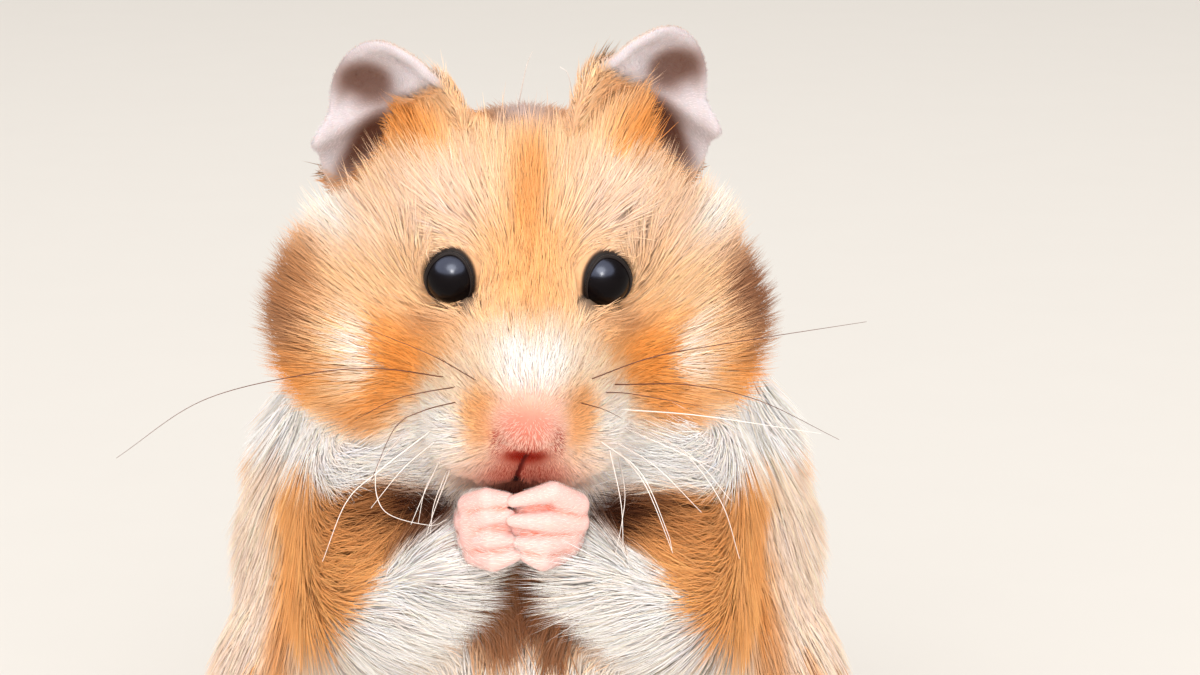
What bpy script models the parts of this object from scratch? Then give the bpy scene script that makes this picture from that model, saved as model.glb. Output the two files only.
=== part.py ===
"""A Syrian hamster at life size, sitting up on its haunches with both forepaws held to its mouth.

A still museum model. Every part of the body is its own closed solid, and each solid reaches out to the
tips of the coat. The hamster faces -Y and sits on the plane Z = 0. The names left and right are its own.
Lengths below are in millimetres and are turned into metres where a mesh is made.
"""

import math

import bmesh
import bpy
from mathutils import Matrix, Vector

MM = 0.001
GAP = 0.3  # clearance between neighbouring solids
SIDES = {"left": 1, "right": -1}  # the sign of X on each side

# The head has a frame of its own: its origin is midway between the eyes, -Y runs to the nose and
# +Z to the crown.
EYE_LINE = Vector((0.75, -27, 64))
HEAD_TURN = math.radians(3.5)  # how far the nose points to the hamster's left
HEAD_PITCH = math.radians(26)  # how far the nose points below level
HEAD_ROLL = math.radians(2)  # how far the left side of the head drops
HEAD = (
    Matrix.Translation(EYE_LINE)
    @ Matrix.Rotation(HEAD_TURN, 4, "Z")
    @ Matrix.Rotation(HEAD_PITCH, 4, "X")
    @ Matrix.Rotation(HEAD_ROLL, 4, "Y")
)

# Ellipsoids of the head, in the head's frame: centre, then half width, half length and half height.
# One whose centre is off the middle stands for a pair.
HEAD_FORMS = {
    "cranium": ((0, 11, -3), (17.6, 14, 11.8)),
    "brow": ((4.0, 2.5, -3.6), (6, 8, 6)),
    "temple": ((12.2, 11, -5.2), (8.5, 8.8, 8.4)),
    "cheek": ((11.4, 9, -11.6), (12.2, 12.4, 11)),
    "ear_mound": ((7.6, 11.6, 5.2), (5.2, 5.2, 8.3)),
    "muzzle": ((0, -3, -9), (9.6, 10.5, 8)),
    "bridge": ((0, -6, -4.8), (5.6, 8.2, 4.4)),
    "whisker_pad": ((4.2, -8.2, -11.6), (5.4, 5.4, 5.4)),
    "chin": ((0, -2.5, -16.8), (6, 7, 4.4)),
    "throat": ((0, 7, -16), (14, 11, 8)),
}
NOSE = ((0, -12.9, -7.2), (3, 2.7, 2.8))

# Ellipsoids of the body, in the part's own frame.
BODY_FORMS = {
    "nape": ((0, -5, 57), (21, 18, 17.5)),
    "shoulders": ((0, -3.5, 49), (24, 21.5, 18.5)),
    "ribcage": ((0, 0, 39.5), (28.8, 24, 22)),
    "loin": ((0, 4.5, 31), (31.2, 25.4, 23)),
    "belly": ((0, -3, 25), (29, 25, 25.4)),
    "rump": ((0, 8, 21.2), (32, 24.6, 21.6)),
}

# The cuts that part head, neck and trunk: a point on each and the tilt of its plane from upright.
HEAD_CUT = (Vector((0, -21, 43.5)), math.radians(-34))
NECK_CUT = (Vector((0, -21, 38)), math.radians(-43))

EYE_RADIUS = 2.75
EYE_CENTRE = (6.9, 0.4, -0.1)  # in the head's frame, for the left eye

# The ear is a cupped shell. Its frame sits at the middle of the cup, with +Z to the tip and -Y out of the
# cup's mouth.
EAR_ROOT = (11.0, 14.4, 8.4)  # in the head's frame, for the left ear
EAR_LIFT = {"left": 1.2, "right": -1.0}  # one ear is pricked a little more than the other
EAR_HEIGHT = 18.8
EAR_WIDTH = 14.2
EAR_CUP = 3.2  # how far the rim stands out in front of the middle
EAR_SHELL = 1.0
EAR_TURN = math.radians(32)  # how far the cup's mouth faces outwards from straight ahead
EAR_LEAN = math.radians(2)  # how far the tip leans outwards
EAR_TAPER = 0.12  # how much narrower the cup is at its tip than across its middle, as a share
EAR_FLARE = 2.2  # power with which the cup's wall steepens towards its rim
EAR_FOLD = 1.5  # height of the crease that crosses the cup
FOLD_RISE = 0.2  # where the crease crosses the ear's middle line, as a share of the half height
FOLD_SLOPE = 0.62  # how fast the crease drops towards the ear's outer edge
FOLD_HALF_WIDTH = 0.2
EAR_RINGS = 5
EAR_SPOKES = 16

# Limbs are chains of joints: the centre and radius at each, for the left side.
FORELEG = (((15, -12, 43.5), 8.4), ((16.6, -22.5, 31), 6.2), ((8.4, -31.8, 36.4), 3.4))
THIGH = ((21.2, 1, 16.8), (11.6, 18.5, 16.4))
HIND_FOOT = (((15, -8, 3.4), 3.8), ((18.4, -19, 2.8), 3.2))
TAIL = (((0, 28, 9), 3.6), ((0, 34, 7), 2.6), ((0, 36.8, 6), 1.7))

# The forepaws meet a little to the hamster's right of the middle.
PAW_MEET = Vector((-0.75, -33, 41.2))
PALM = ((4.3, 1.2, -0.6), (2.3, 2.9, 4.1))
DIGIT_RISES = (3.1, 1.05, -1.05, -3.0)  # heights of the four digits over the place where the paws meet
DIGIT_REACH = ((4.7, -0.6), (3.2, -2.7), (1.1, -2.3))  # knuckle, joint and tip: out from there, and along Y
DIGIT_RADII = (1.35, 1.2, 0.95)

TOE_SPREAD = (-24, -11, 1, 13, 27)  # degrees that each toe points outwards
TOE_LENGTHS = (4.6, 6.6, 7.4, 6.8, 4.8)
TOE_RADII = (1.5, 1.05)
TOE_FAN = 2.2  # radius of the arc that the roots of the toes lie on
TOE_HEIGHT = 1.4  # height of a toe's root over the floor
TOE_DROP = 0.5  # how much lower its tip is

SMOOTHING = 0.5  # share of the way that a point moves to its neighbours' middle in each round
CUTTER = 200  # side of the blocks that cut, larger than the whole hamster
SHARP_EDGE = math.radians(50)  # edges that turn by more than this stay sharp

COLOURS = {
    "golden_coat": ((0.66, 0.33, 0.13), 0.8),
    "pale_coat": ((0.82, 0.70, 0.61), 0.8),
    "pink_skin": ((0.80, 0.48, 0.42), 0.55),
    "ear_skin": ((0.42, 0.31, 0.28), 0.7),
    "eye_black": ((0.01, 0.008, 0.007), 0.08),
}


def mirrored(point, side):
    return Vector((point[0] * SIDES[side], point[1], point[2]))


def add_ellipsoid(mesh, centre, radii, frame=Matrix(), detail=4):
    """A closed ball, stretched to its radii in a frame."""
    place = Matrix.Scale(MM, 4) @ frame @ Matrix.Translation(centre) @ Matrix.Diagonal((*radii, 1))
    bmesh.ops.create_icosphere(mesh, subdivisions=detail, radius=1, matrix=place)


def add_bone(mesh, start, end, radii, frame=Matrix()):
    """A closed tapered rod with round ends, from one joint to the next."""
    rod = bmesh.new()
    for joint, radius in ((start, radii[0]), (end, radii[1])):
        add_ellipsoid(rod, joint, (radius,) * 3, frame, detail=3)
    hull = bmesh.ops.convex_hull(rod, input=rod.verts)
    inside = [item for item in hull["geom_interior"] if isinstance(item, bmesh.types.BMVert)]
    bmesh.ops.delete(rod, geom=inside, context="VERTS")
    piece = bpy.data.meshes.new("rod")
    rod.to_mesh(piece)
    rod.free()
    mesh.from_mesh(piece)
    bpy.data.meshes.remove(piece)


def add_chain(mesh, joints, side="left"):
    """A limb: tapered rods from each joint to the next."""
    for (start, r_start), (end, r_end) in zip(joints, joints[1:]):
        add_bone(mesh, mirrored(start, side), mirrored(end, side), (r_start, r_end))


def add_forms(mesh, forms, frame=Matrix()):
    """The ellipsoids of a table, with both of each pair."""
    for centre, radii in forms.values():
        for side in SIDES if centre[0] else ("left",):
            add_ellipsoid(mesh, mirrored(centre, side), radii, frame)


def evaluated(thing):
    """The object's mesh with its modifiers applied, in place of its own."""
    bpy.context.view_layer.update()
    graph = bpy.context.evaluated_depsgraph_get()
    mesh = bpy.data.meshes.new_from_object(thing.evaluated_get(graph))
    thing.modifiers.clear()
    thing.data = mesh
    return thing


def object_of(mesh, name):
    data = bpy.data.meshes.new(name)
    mesh.to_mesh(data)
    mesh.free()
    thing = bpy.data.objects.new(name, data)
    bpy.context.scene.collection.objects.link(thing)
    return thing


def moulded(mesh, name, voxel, rounds, triangles):
    """One smooth body from overlapping balls and rods: fused, its creases rounded, then thinned."""
    thing = object_of(mesh, name)
    fuse = thing.modifiers.new("fuse", "REMESH")
    fuse.mode = "VOXEL"
    fuse.voxel_size = voxel * MM
    soften = thing.modifiers.new("soften", "SMOOTH")
    soften.factor = SMOOTHING
    soften.iterations = rounds
    evaluated(thing)
    thin = thing.modifiers.new("thin", "DECIMATE")
    thin.use_collapse_triangulate = True
    thin.ratio = min(1.0, triangles / (2 * len(thing.data.polygons)))
    return evaluated(thing)


def combined(thing, tool, operation):
    """The thing cut by, or kept inside, a tool."""
    cut = thing.modifiers.new(operation.lower(), "BOOLEAN")
    cut.operation = operation
    cut.object = tool
    return evaluated(thing)


def copy_of(thing, name, grow=0.0):
    """A copy, grown along its normals by some millimetres."""
    twin = thing.copy()
    twin.data = thing.data.copy()
    twin.name = name
    bpy.context.scene.collection.objects.link(twin)
    if grow:
        swell = twin.modifiers.new("grow", "DISPLACE")
        swell.direction = "NORMAL"
        swell.mid_level = 0
        swell.strength = grow * MM
        evaluated(twin)
    return twin


def removed(*things):
    for thing in things:
        bpy.data.objects.remove(thing)


def leave_room(thing, neighbour):
    """Cuts the neighbour, and a gap round it, out of the thing."""
    room = copy_of(neighbour, "room", GAP)
    combined(thing, room, "DIFFERENCE")
    removed(room)
    return thing


def block(centre, turn=Matrix()):
    """A large cube to cut with."""
    mesh = bmesh.new()
    place = Matrix.Scale(MM, 4) @ Matrix.Translation(centre) @ turn
    bmesh.ops.create_cube(mesh, size=CUTTER, matrix=place)
    return object_of(mesh, "block")


def behind(cut, offset):
    """A block that fills all the space behind a cut, from an offset along the cut's own normal."""
    point, tilt = cut
    turn = Matrix.Rotation(tilt, 4, "X")
    normal = turn @ Vector((0, 1, 0))
    return block(point + normal * (offset + CUTTER / 2), turn)


def kept(thing, name, tool, operation):
    """A copy of one body with only what a tool leaves of it."""
    piece = copy_of(thing, name)
    combined(piece, tool, operation)
    removed(tool)
    return piece


def flattened(thing):
    """Cuts off whatever hangs below the floor, which leaves a small flat."""
    floor = block((0, 0, -CUTTER / 2))
    combined(thing, floor, "DIFFERENCE")
    removed(floor)
    return thing


def build_core():
    """Head, neck and trunk, modelled as one body and parted by two cuts."""
    mesh = bmesh.new()
    add_forms(mesh, HEAD_FORMS, HEAD)
    add_forms(mesh, BODY_FORMS)
    whole = moulded(mesh, "whole", voxel=0.9, rounds=34, triangles=2350)
    head = kept(whole, "head", behind(HEAD_CUT, -GAP / 2), "DIFFERENCE")
    rest = kept(whole, "rest", behind(HEAD_CUT, GAP / 2), "INTERSECT")
    neck = kept(rest, "neck", behind(NECK_CUT, -GAP / 2), "DIFFERENCE")
    trunk = kept(rest, "trunk", behind(NECK_CUT, GAP / 2), "INTERSECT")
    removed(whole, rest)
    return head, neck, flattened(trunk)


def build_eye(side):
    mesh = bmesh.new()
    add_ellipsoid(mesh, mirrored(EYE_CENTRE, side), (EYE_RADIUS,) * 3, HEAD, detail=3)
    return object_of(mesh, f"{side}_eye")


def build_nose():
    mesh = bmesh.new()
    add_ellipsoid(mesh, *NOSE, HEAD, detail=3)
    return object_of(mesh, "nose")


def ear_point(along, round_rim):
    """A point of the cup: along is 0 at the middle and 1 at the rim, round_rim is its angle from the tip."""
    across = math.sin(round_rim) * along
    rise = math.cos(round_rim) * along
    narrow = 1 - EAR_TAPER * rise
    cup = EAR_CUP * along**EAR_FLARE
    off_crease = (rise - FOLD_RISE + FOLD_SLOPE * across) / FOLD_HALF_WIDTH
    crease = EAR_FOLD * math.exp(-(off_crease**2)) * along
    return Vector((across * narrow * EAR_WIDTH / 2, -cup - crease, rise * EAR_HEIGHT / 2))


def build_ear(side):
    """A thin cup, made as rings round its middle and given its thickness."""
    mesh = bmesh.new()
    middle = mesh.verts.new(ear_point(0, 0))
    loops = []
    for ring in range(1, EAR_RINGS + 1):
        turns = (math.tau * spoke / EAR_SPOKES for spoke in range(EAR_SPOKES))
        loops.append([mesh.verts.new(ear_point(ring / EAR_RINGS, turn)) for turn in turns])
    for spoke in range(EAR_SPOKES):
        following = (spoke + 1) % EAR_SPOKES
        mesh.faces.new((middle, loops[0][following], loops[0][spoke]))
        for inner, outer in zip(loops, loops[1:]):
            mesh.faces.new((inner[spoke], inner[following], outer[following], outer[spoke]))
    bmesh.ops.recalc_face_normals(mesh, faces=mesh.faces)
    turn = Matrix.Rotation(EAR_TURN, 4, "Z") @ Matrix.Rotation(EAR_LEAN, 4, "Y")
    mirror = Matrix.Diagonal((SIDES[side], 1, 1, 1))
    root = Vector(EAR_ROOT) + Vector((0, 0, EAR_LIFT[side]))
    place = Matrix.Scale(MM, 4) @ HEAD @ mirror @ Matrix.Translation(root) @ turn
    bmesh.ops.transform(mesh, matrix=place, verts=mesh.verts)
    if side == "right":
        bmesh.ops.reverse_faces(mesh, faces=mesh.faces)
    ear = object_of(mesh, f"{side}_ear")
    shell = ear.modifiers.new("shell", "SOLIDIFY")
    shell.thickness = EAR_SHELL * MM
    shell.offset = 0
    return evaluated(ear)


def build_foreleg(side):
    mesh = bmesh.new()
    add_chain(mesh, FORELEG, side)
    return moulded(mesh, f"{side}_foreleg", voxel=0.7, rounds=8, triangles=260)


def build_forepaw(side):
    """The palm and four digits, curled in towards the other paw."""
    mesh = bmesh.new()
    frame = Matrix.Translation(PAW_MEET)
    add_ellipsoid(mesh, mirrored(PALM[0], side), PALM[1], frame)
    for rise in DIGIT_RISES:
        joints = [mirrored((out, along, rise), side) for out, along in DIGIT_REACH]
        for start, end, radii in zip(joints, joints[1:], zip(DIGIT_RADII, DIGIT_RADII[1:])):
            add_bone(mesh, start, end, radii, frame)
    return moulded(mesh, f"{side}_forepaw", voxel=0.3, rounds=3, triangles=430)


def build_thigh(side):
    mesh = bmesh.new()
    add_ellipsoid(mesh, mirrored(THIGH[0], side), THIGH[1])
    return moulded(mesh, f"{side}_thigh", voxel=1.2, rounds=2, triangles=240)


def build_hind_foot(side):
    """The sole with five toes spread on the floor."""
    mesh = bmesh.new()
    add_chain(mesh, HIND_FOOT, side)
    ball = HIND_FOOT[-1][0]
    for spread, length in zip(TOE_SPREAD, TOE_LENGTHS):
        turn = math.radians(spread)
        root = Vector((ball[0] + TOE_FAN * math.sin(turn), ball[1], TOE_HEIGHT))
        tip = root + Vector((math.sin(turn) * length, -math.cos(turn) * length, -TOE_DROP))
        add_bone(mesh, mirrored(root, side), mirrored(tip, side), TOE_RADII)
    return flattened(moulded(mesh, f"{side}_hind_foot", voxel=0.35, rounds=3, triangles=310))


def build_tail():
    mesh = bmesh.new()
    add_chain(mesh, TAIL)
    return moulded(mesh, "tail", voxel=0.5, rounds=4, triangles=120)


def painted(thing, finish):
    """Gives a solid its material, and smooth shading where its faces turn gently."""
    material = bpy.data.materials.get(finish) or bpy.data.materials.new(finish)
    material.use_nodes = True
    colour, roughness = COLOURS[finish]
    shader = material.node_tree.nodes["Principled BSDF"]
    shader.inputs["Base Color"].default_value = (*colour, 1)
    shader.inputs["Roughness"].default_value = roughness
    thing.data.materials.clear()
    thing.data.materials.append(material)
    thing.data.shade_smooth()
    thing.data.set_sharp_from_angle(angle=SHARP_EDGE)


def build():
    for thing in list(bpy.data.objects):
        bpy.data.objects.remove(thing)
    head, neck, trunk = build_core()
    nose = leave_room(build_nose(), head)
    tail = leave_room(build_tail(), trunk)
    for thing in (head, neck, trunk):
        painted(thing, "golden_coat")
    for thing in (nose, tail):
        painted(thing, "pink_skin")
    for side in SIDES:
        eye = build_eye(side)
        ear = leave_room(build_ear(side), head)
        foreleg = build_foreleg(side)
        forepaw = build_forepaw(side)
        thigh = flattened(build_thigh(side))
        foot = build_hind_foot(side)
        leave_room(head, eye)
        leave_room(foreleg, forepaw)
        leave_room(thigh, foot)
        for limb in (foreleg, thigh, foot):
            leave_room(trunk, limb)
        leave_room(neck, foreleg)
        leave_room(head, foreleg)
        leave_room(head, forepaw)
        painted(eye, "eye_black")
        painted(ear, "ear_skin")
        painted(foreleg, "pale_coat")
        painted(forepaw, "pink_skin")
        painted(thigh, "golden_coat")
        painted(foot, "pink_skin")


build()
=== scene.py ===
"""The looks of a life-size Syrian hamster that sits up with both forepaws held to its mouth.

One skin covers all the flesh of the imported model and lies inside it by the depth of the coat. Fine closed
tufts grow from the skin, along the lie of the coat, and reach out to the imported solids. The eyes, claws and
whiskers are pieces of their own. Points and lengths are in millimetres and become metres in the meshes.
Left and right are the hamster's own: it faces -Y, and its left is +X.
"""

import math

import bmesh
import bpy
import numpy as np
from mathutils import Matrix, Vector
from mathutils.bvhtree import BVHTree
from mathutils.kdtree import KDTree


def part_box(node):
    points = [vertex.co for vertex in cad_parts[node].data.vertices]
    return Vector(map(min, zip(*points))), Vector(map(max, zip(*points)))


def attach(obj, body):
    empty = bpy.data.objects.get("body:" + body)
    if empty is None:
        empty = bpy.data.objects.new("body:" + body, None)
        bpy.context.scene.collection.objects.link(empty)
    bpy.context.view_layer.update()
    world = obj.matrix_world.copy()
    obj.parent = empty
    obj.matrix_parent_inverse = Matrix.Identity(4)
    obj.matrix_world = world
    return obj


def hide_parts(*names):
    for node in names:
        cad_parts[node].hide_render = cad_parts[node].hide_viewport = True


MM = 0.001
SIDES = {"left": 1, "right": -1}  # the sign of X on each side
UP = np.array((0.0, 0.0, 1.0))

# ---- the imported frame

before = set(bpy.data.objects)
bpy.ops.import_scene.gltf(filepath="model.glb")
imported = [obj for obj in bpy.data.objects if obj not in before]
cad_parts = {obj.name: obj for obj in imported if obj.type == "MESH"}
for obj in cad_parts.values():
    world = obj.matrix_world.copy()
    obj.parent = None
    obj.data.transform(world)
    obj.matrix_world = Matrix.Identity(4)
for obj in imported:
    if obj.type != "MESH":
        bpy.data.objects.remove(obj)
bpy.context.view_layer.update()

FLESH = [name for name in sorted(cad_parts) if not name.endswith("_eye")]
EYE_BOXES = {side: np.array(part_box(f"{side}_eye")) / MM for side in SIDES}
EYE_CENTRES = {side: box.mean(axis=0) for side, box in EYE_BOXES.items()}
EYE_RADIUS = float(np.ptp(EYE_BOXES["left"], axis=0).min() / 2)
HEAD_PITCH = math.radians(26)
EYES_IN_HEAD = np.array((0, 0.4, -0.1))  # the middle between the eyeballs


def unit(vectors):
    return vectors / np.maximum(np.linalg.norm(vectors, axis=-1, keepdims=True), 1e-9)


def distance(points, place):
    return np.linalg.norm(points - place, axis=1)


def head_axes():
    """The head's own axes as rows: X from eye to eye, -Y out of the nose, +Z out of the crown."""
    across = unit(EYE_CENTRES["left"] - EYE_CENTRES["right"])
    back = unit(np.cross(UP, across))
    rise = np.cross(across, back)
    c, s = math.cos(HEAD_PITCH), math.sin(HEAD_PITCH)
    return np.array((across, back * c + rise * s, rise * c - back * s))


HEAD = head_axes()
HEAD_ORIGIN = (EYE_CENTRES["left"] + EYE_CENTRES["right"]) / 2 - EYES_IN_HEAD @ HEAD


def to_head(points):
    return (np.asarray(points) - HEAD_ORIGIN) @ HEAD.T


def from_head(points):
    return np.asarray(points) @ HEAD + HEAD_ORIGIN


# ---- helpers on meshes and fields


def linked(name, data):
    """A new object in the scene."""
    thing = bpy.data.objects.new(name, data)
    bpy.context.scene.collection.objects.link(thing)
    return thing


def new_object(name, points, faces):
    """An object from points in millimetres and faces as lists of corners."""
    mesh = bpy.data.meshes.new(name)
    mesh.from_pydata((np.asarray(points) * MM).tolist(), [], [tuple(face) for face in faces])
    return linked(name, mesh)


def object_of(mesh, name):
    """An object from a bmesh in metres."""
    data = bpy.data.meshes.new(name)
    mesh.to_mesh(data)
    mesh.free()
    return linked(name, data)


def final_mesh(thing):
    """The mesh that an object's modifiers make."""
    bpy.context.view_layer.update()
    return bpy.data.meshes.new_from_object(thing.evaluated_get(bpy.context.evaluated_depsgraph_get()))


def settled(thing):
    """The object with its modifiers turned into its own mesh."""
    mesh = final_mesh(thing)
    thing.modifiers.clear()
    thing.data = mesh
    return thing


def fused(thing, voxel):
    fuse = thing.modifiers.new("fuse", "REMESH")
    fuse.mode = "VOXEL"
    fuse.voxel_size = voxel * MM
    return settled(thing)


def read(items, field, width, kind=np.float32):
    """One field of all of a mesh's items, as rows of the given width."""
    flat = np.empty(len(items) * width, kind)
    items.foreach_get(field, flat)
    return flat.reshape(-1, width)


def points_of(mesh):
    return read(mesh.vertices, "co", 3).astype(float) / MM


def set_points(mesh, points):
    mesh.vertices.foreach_set("co", (points * MM).astype(np.float32).ravel())
    mesh.update()


def normals_of(mesh):
    return unit(read(mesh.vertex_normals, "vector", 3).astype(float))


def edges_of(mesh):
    return read(mesh.edges, "vertices", 2, np.int32)


def triangles_of(mesh):
    mesh.calc_loop_triangles()
    return read(mesh.loop_triangles, "vertices", 3, np.int32)


def spread(values, edges, rounds, pull=0.5):
    """Moves each point's value towards the mean of its neighbours', round after round."""
    rows = values.reshape(len(values), -1).astype(float)
    count = np.maximum(np.bincount(edges.ravel(), minlength=len(rows)), 1)[:, None]
    weight = np.broadcast_to(np.asarray(pull, float), (len(rows),))[:, None]
    a, b = edges.T
    for _ in range(rounds):
        sums = [np.bincount(a, row[b], len(row)) + np.bincount(b, row[a], len(row)) for row in rows.T]
        rows = rows + weight * (np.stack(sums, axis=1) / count - rows)
    return rows.reshape(values.shape)


def ramp(values, start, end):
    """0 up to start, 1 from end on, and a smooth rise between."""
    t = np.clip((values - start) / (end - start), 0, 1)
    return t * t * (3 - 2 * t)


def bump(points, centre, radii):
    """1 at the centre of a soft ellipsoid, falling to nothing outside it."""
    return np.exp(-np.sum(((points - np.asarray(centre)) / np.asarray(radii)) ** 2, axis=-1))


def noise(points, size, seed=0):
    """Smooth noise between -1 and 1, with bumps of about the given size."""
    grid = points / size + 1000.0
    cell = np.floor(grid).astype(np.int64)
    part = grid - cell
    part = part * part * (3 - 2 * part)
    total = np.zeros(len(points))
    for corner in np.ndindex(2, 2, 2):
        at = (cell + corner).astype(np.uint64) * np.array((73856093, 19349663, 83492791), np.uint64)
        key = (at[:, 0] ^ at[:, 1] ^ at[:, 2]) + np.uint64(seed * 7919)
        key = key * np.uint64(2654435761)
        value = ((key >> np.uint64(13)) & np.uint64(0xFFFF)) / 32767.5 - 1
        total += value * np.prod(np.where(corner, part, 1 - part), axis=1)
    return total


# ---- forms that the skin is built from


def ball(mesh, centre, radii, detail=4):
    place = Matrix.Scale(MM, 4) @ Matrix.Translation(centre) @ Matrix.Diagonal((*radii, 1))
    bmesh.ops.create_icosphere(mesh, subdivisions=detail, radius=1, matrix=place)


def bone(mesh, start, end, radii):
    """A closed tapered rod with round ends."""
    rod = bmesh.new()
    for centre, radius in zip((start, end), radii):
        ball(rod, centre, (radius,) * 3, detail=3)
    hull = bmesh.ops.convex_hull(rod, input=rod.verts)
    inside = [item for item in hull["geom_interior"] if isinstance(item, bmesh.types.BMVert)]
    bmesh.ops.delete(rod, geom=inside, context="VERTS")
    piece = bpy.data.meshes.new("rod")
    rod.to_mesh(piece)
    rod.free()
    mesh.from_mesh(piece)
    bpy.data.meshes.remove(piece)


def chain(mesh, joints, radii):
    for start, end, pair in zip(joints, joints[1:], zip(radii, radii[1:])):
        bone(mesh, start, end, pair)


def smoothed(thing, rounds, pull=0.5):
    set_points(thing.data, spread(points_of(thing.data), edges_of(thing.data), rounds, pull))
    return thing


def refined(thing, chosen):
    """Splits every edge whose ends are both chosen."""
    mesh = bmesh.new()
    mesh.from_mesh(thing.data)
    mesh.verts.ensure_lookup_table()
    edges = [edge for edge in mesh.edges if all(chosen[vert.index] for vert in edge.verts)]
    bmesh.ops.subdivide_edges(mesh, edges=edges, cuts=1, use_grid_fill=True)
    bmesh.ops.triangulate(mesh, faces=[face for face in mesh.faces if len(face.verts) > 4])
    mesh.to_mesh(thing.data)
    mesh.free()


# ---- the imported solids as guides

PARTS = ("head", "neck", "trunk", "nose", "tail", "ear", "foreleg", "forepaw", "thigh", "hind_foot")
PART_INDEX = {part: index for index, part in enumerate(PARTS)}


def part_of(node):
    """A node's name without its side."""
    return node.replace("left_", "").replace("right_", "")


def share(parts, *names):
    """How much of each point belongs to the named parts."""
    return parts[:, [PART_INDEX[name] for name in names]].sum(axis=1)


def flesh_tree():
    """All the solids of flesh in one tree, and the part that each of its triangles belongs to."""
    points, faces, owner = [], [], []
    base = 0
    for node in FLESH:
        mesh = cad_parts[node].data
        triangles = triangles_of(mesh)
        points += points_of(mesh).tolist()
        faces += (triangles + base).tolist()
        owner += [PART_INDEX[part_of(node)]] * len(triangles)
        base += len(mesh.vertices)
    return BVHTree.FromPolygons(points, faces), np.array(owner)


FLESH_TREE, TREE_PARTS = flesh_tree()


def nearest_part(points):
    """The number in PARTS of the solid nearest to each point."""
    return TREE_PARTS[[FLESH_TREE.find_nearest(point)[2] for point in points.tolist()]]


# ---- the skin of head, trunk, arms and thighs

# How deep the coat is over each part of the body, from the skin to the tips of the hair.
COAT_DEPTH = {"head": 1.7, "neck": 3.0, "trunk": 3.6, "nose": 0.15, "tail": 0.3, "ear": 0.1}
COAT_DEPTH.update({"foreleg": 1.7, "forepaw": 0.5, "thigh": 3.0, "hind_foot": 0.5})
DEPTHS = np.array([COAT_DEPTH[part] for part in PARTS])
NOSE_TIP = np.array((0, -15.2, -7.6))  # these four are in the head's frame
MOUTH = np.array((-1.0, -12.0, -15.0))
LIP_CUSHION = np.array((2.5, -10.5, -14.1))  # the middle of one half of the upper lip
LIP_RADIUS = 3.1
BODY_VOXEL = 0.85
CLOSE_GAPS = 0.2  # how far each solid is swollen, so that neighbours fuse across their gaps
FINE_PARTS = ("ear", "forepaw", "hind_foot")  # modelled anew, finer than their solids
# Where the skin's mesh is made finer, twice: how far round the nose, each eye and the mouth.
REFINED = ((19, 7.5, 10), (5.2, 4.6, 3.8))


def thinned(depth, points, least, near, far):
    """The coat's depth, less round the nose, and round the eyes down to its least share."""
    depth = depth * (0.12 + 0.88 * ramp(distance(to_head(points), NOSE_TIP), 2.5, 19))
    for eye in EYE_CENTRES.values():
        depth = depth * (least + (1 - least) * ramp(distance(points, eye), near, far))
    return depth


def flesh_block():
    """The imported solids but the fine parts, fused into one surface."""
    mesh = bmesh.new()
    for node in sorted(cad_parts):
        if part_of(node) not in FINE_PARTS:
            mesh.from_mesh(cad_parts[node].data)
    bmesh.ops.remove_doubles(mesh, verts=mesh.verts, dist=1e-6)
    for sign in SIDES.values():
        ball(mesh, from_head(LIP_CUSHION * (sign, 1, 1)), (LIP_RADIUS,) * 3)
    block = object_of(mesh, "hamster_skin")
    swell = block.modifiers.new("swell", "DISPLACE")
    swell.mid_level = 0
    swell.strength = CLOSE_GAPS * MM
    return fused(settled(block), BODY_VOXEL)


def body_skin():
    """The skin under the coat, with the face still closed and smooth."""
    block = flesh_block()
    mesh = block.data
    points, edges = points_of(mesh), edges_of(mesh)
    depth = thinned(spread(DEPTHS[nearest_part(points)], edges, 12), points, 0.35, 2.6, 6.5)
    smoothed(block, 42, 0.08 + 0.42 * ramp(depth, 0.3, 1.6))
    set_points(mesh, points_of(mesh) - normals_of(mesh) * (depth + CLOSE_GAPS)[:, None])
    smoothed(block, 8, 0.05 + 0.45 * ramp(depth, 0.3, 1.6))
    for round_nose, round_eye, round_mouth in REFINED:
        points = points_of(mesh)
        head = to_head(points)
        near = (distance(head, NOSE_TIP) < round_nose) | (distance(head, MOUTH) < round_mouth)
        for eye in EYE_CENTRES.values():
            near |= distance(points, eye) < round_eye
        refined(block, near)
        smoothed(block, 4)
    return block


# ---- the face

LID_TURN = math.radians(15)  # each eye looks this far out to its side
LID_TILT = math.radians(6)  # and this far up
LID_WIDE = math.radians(51)  # from the eye's axis to the lids, across
LID_TALL = math.radians(72)  # and up and down
EYE_BEDDED = 0.86  # the skin under the eyeball, as a share of its radius
LID_STAND = 0.12  # how far the skin of the lids stands off the eyeball
NOSTRIL = np.array((1.75, -14.4, -9.0))
NOSTRIL_SIZE = np.array((0.75, 0.9, 0.5))
NOSTRIL_DEEP = 0.8
GROOVE_DEEP = 0.4  # of the line from the nose down to the mouth
GROOVE_HALF = 0.3
MOUTH_SIZE = np.array((1.9, 2.2, 0.8))
MOUTH_DEEP = 1.8


def eye_frame(side):
    """The axis that an eye looks along, with its across and up."""
    turn = LID_TURN * SIDES[side]
    axis = np.array((math.sin(turn), -math.cos(turn) * math.cos(LID_TILT), math.sin(LID_TILT)))
    axis = unit(axis) @ HEAD
    across = unit(np.cross(axis, HEAD[2]))
    return axis, across, np.cross(across, axis)


def lid_edge(turn):
    """The angle from the eye's axis to the edge of the lids, at a turn round that axis."""
    return 1 / np.hypot(np.cos(turn) / LID_WIDE, np.sin(turn) / LID_TALL)


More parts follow.
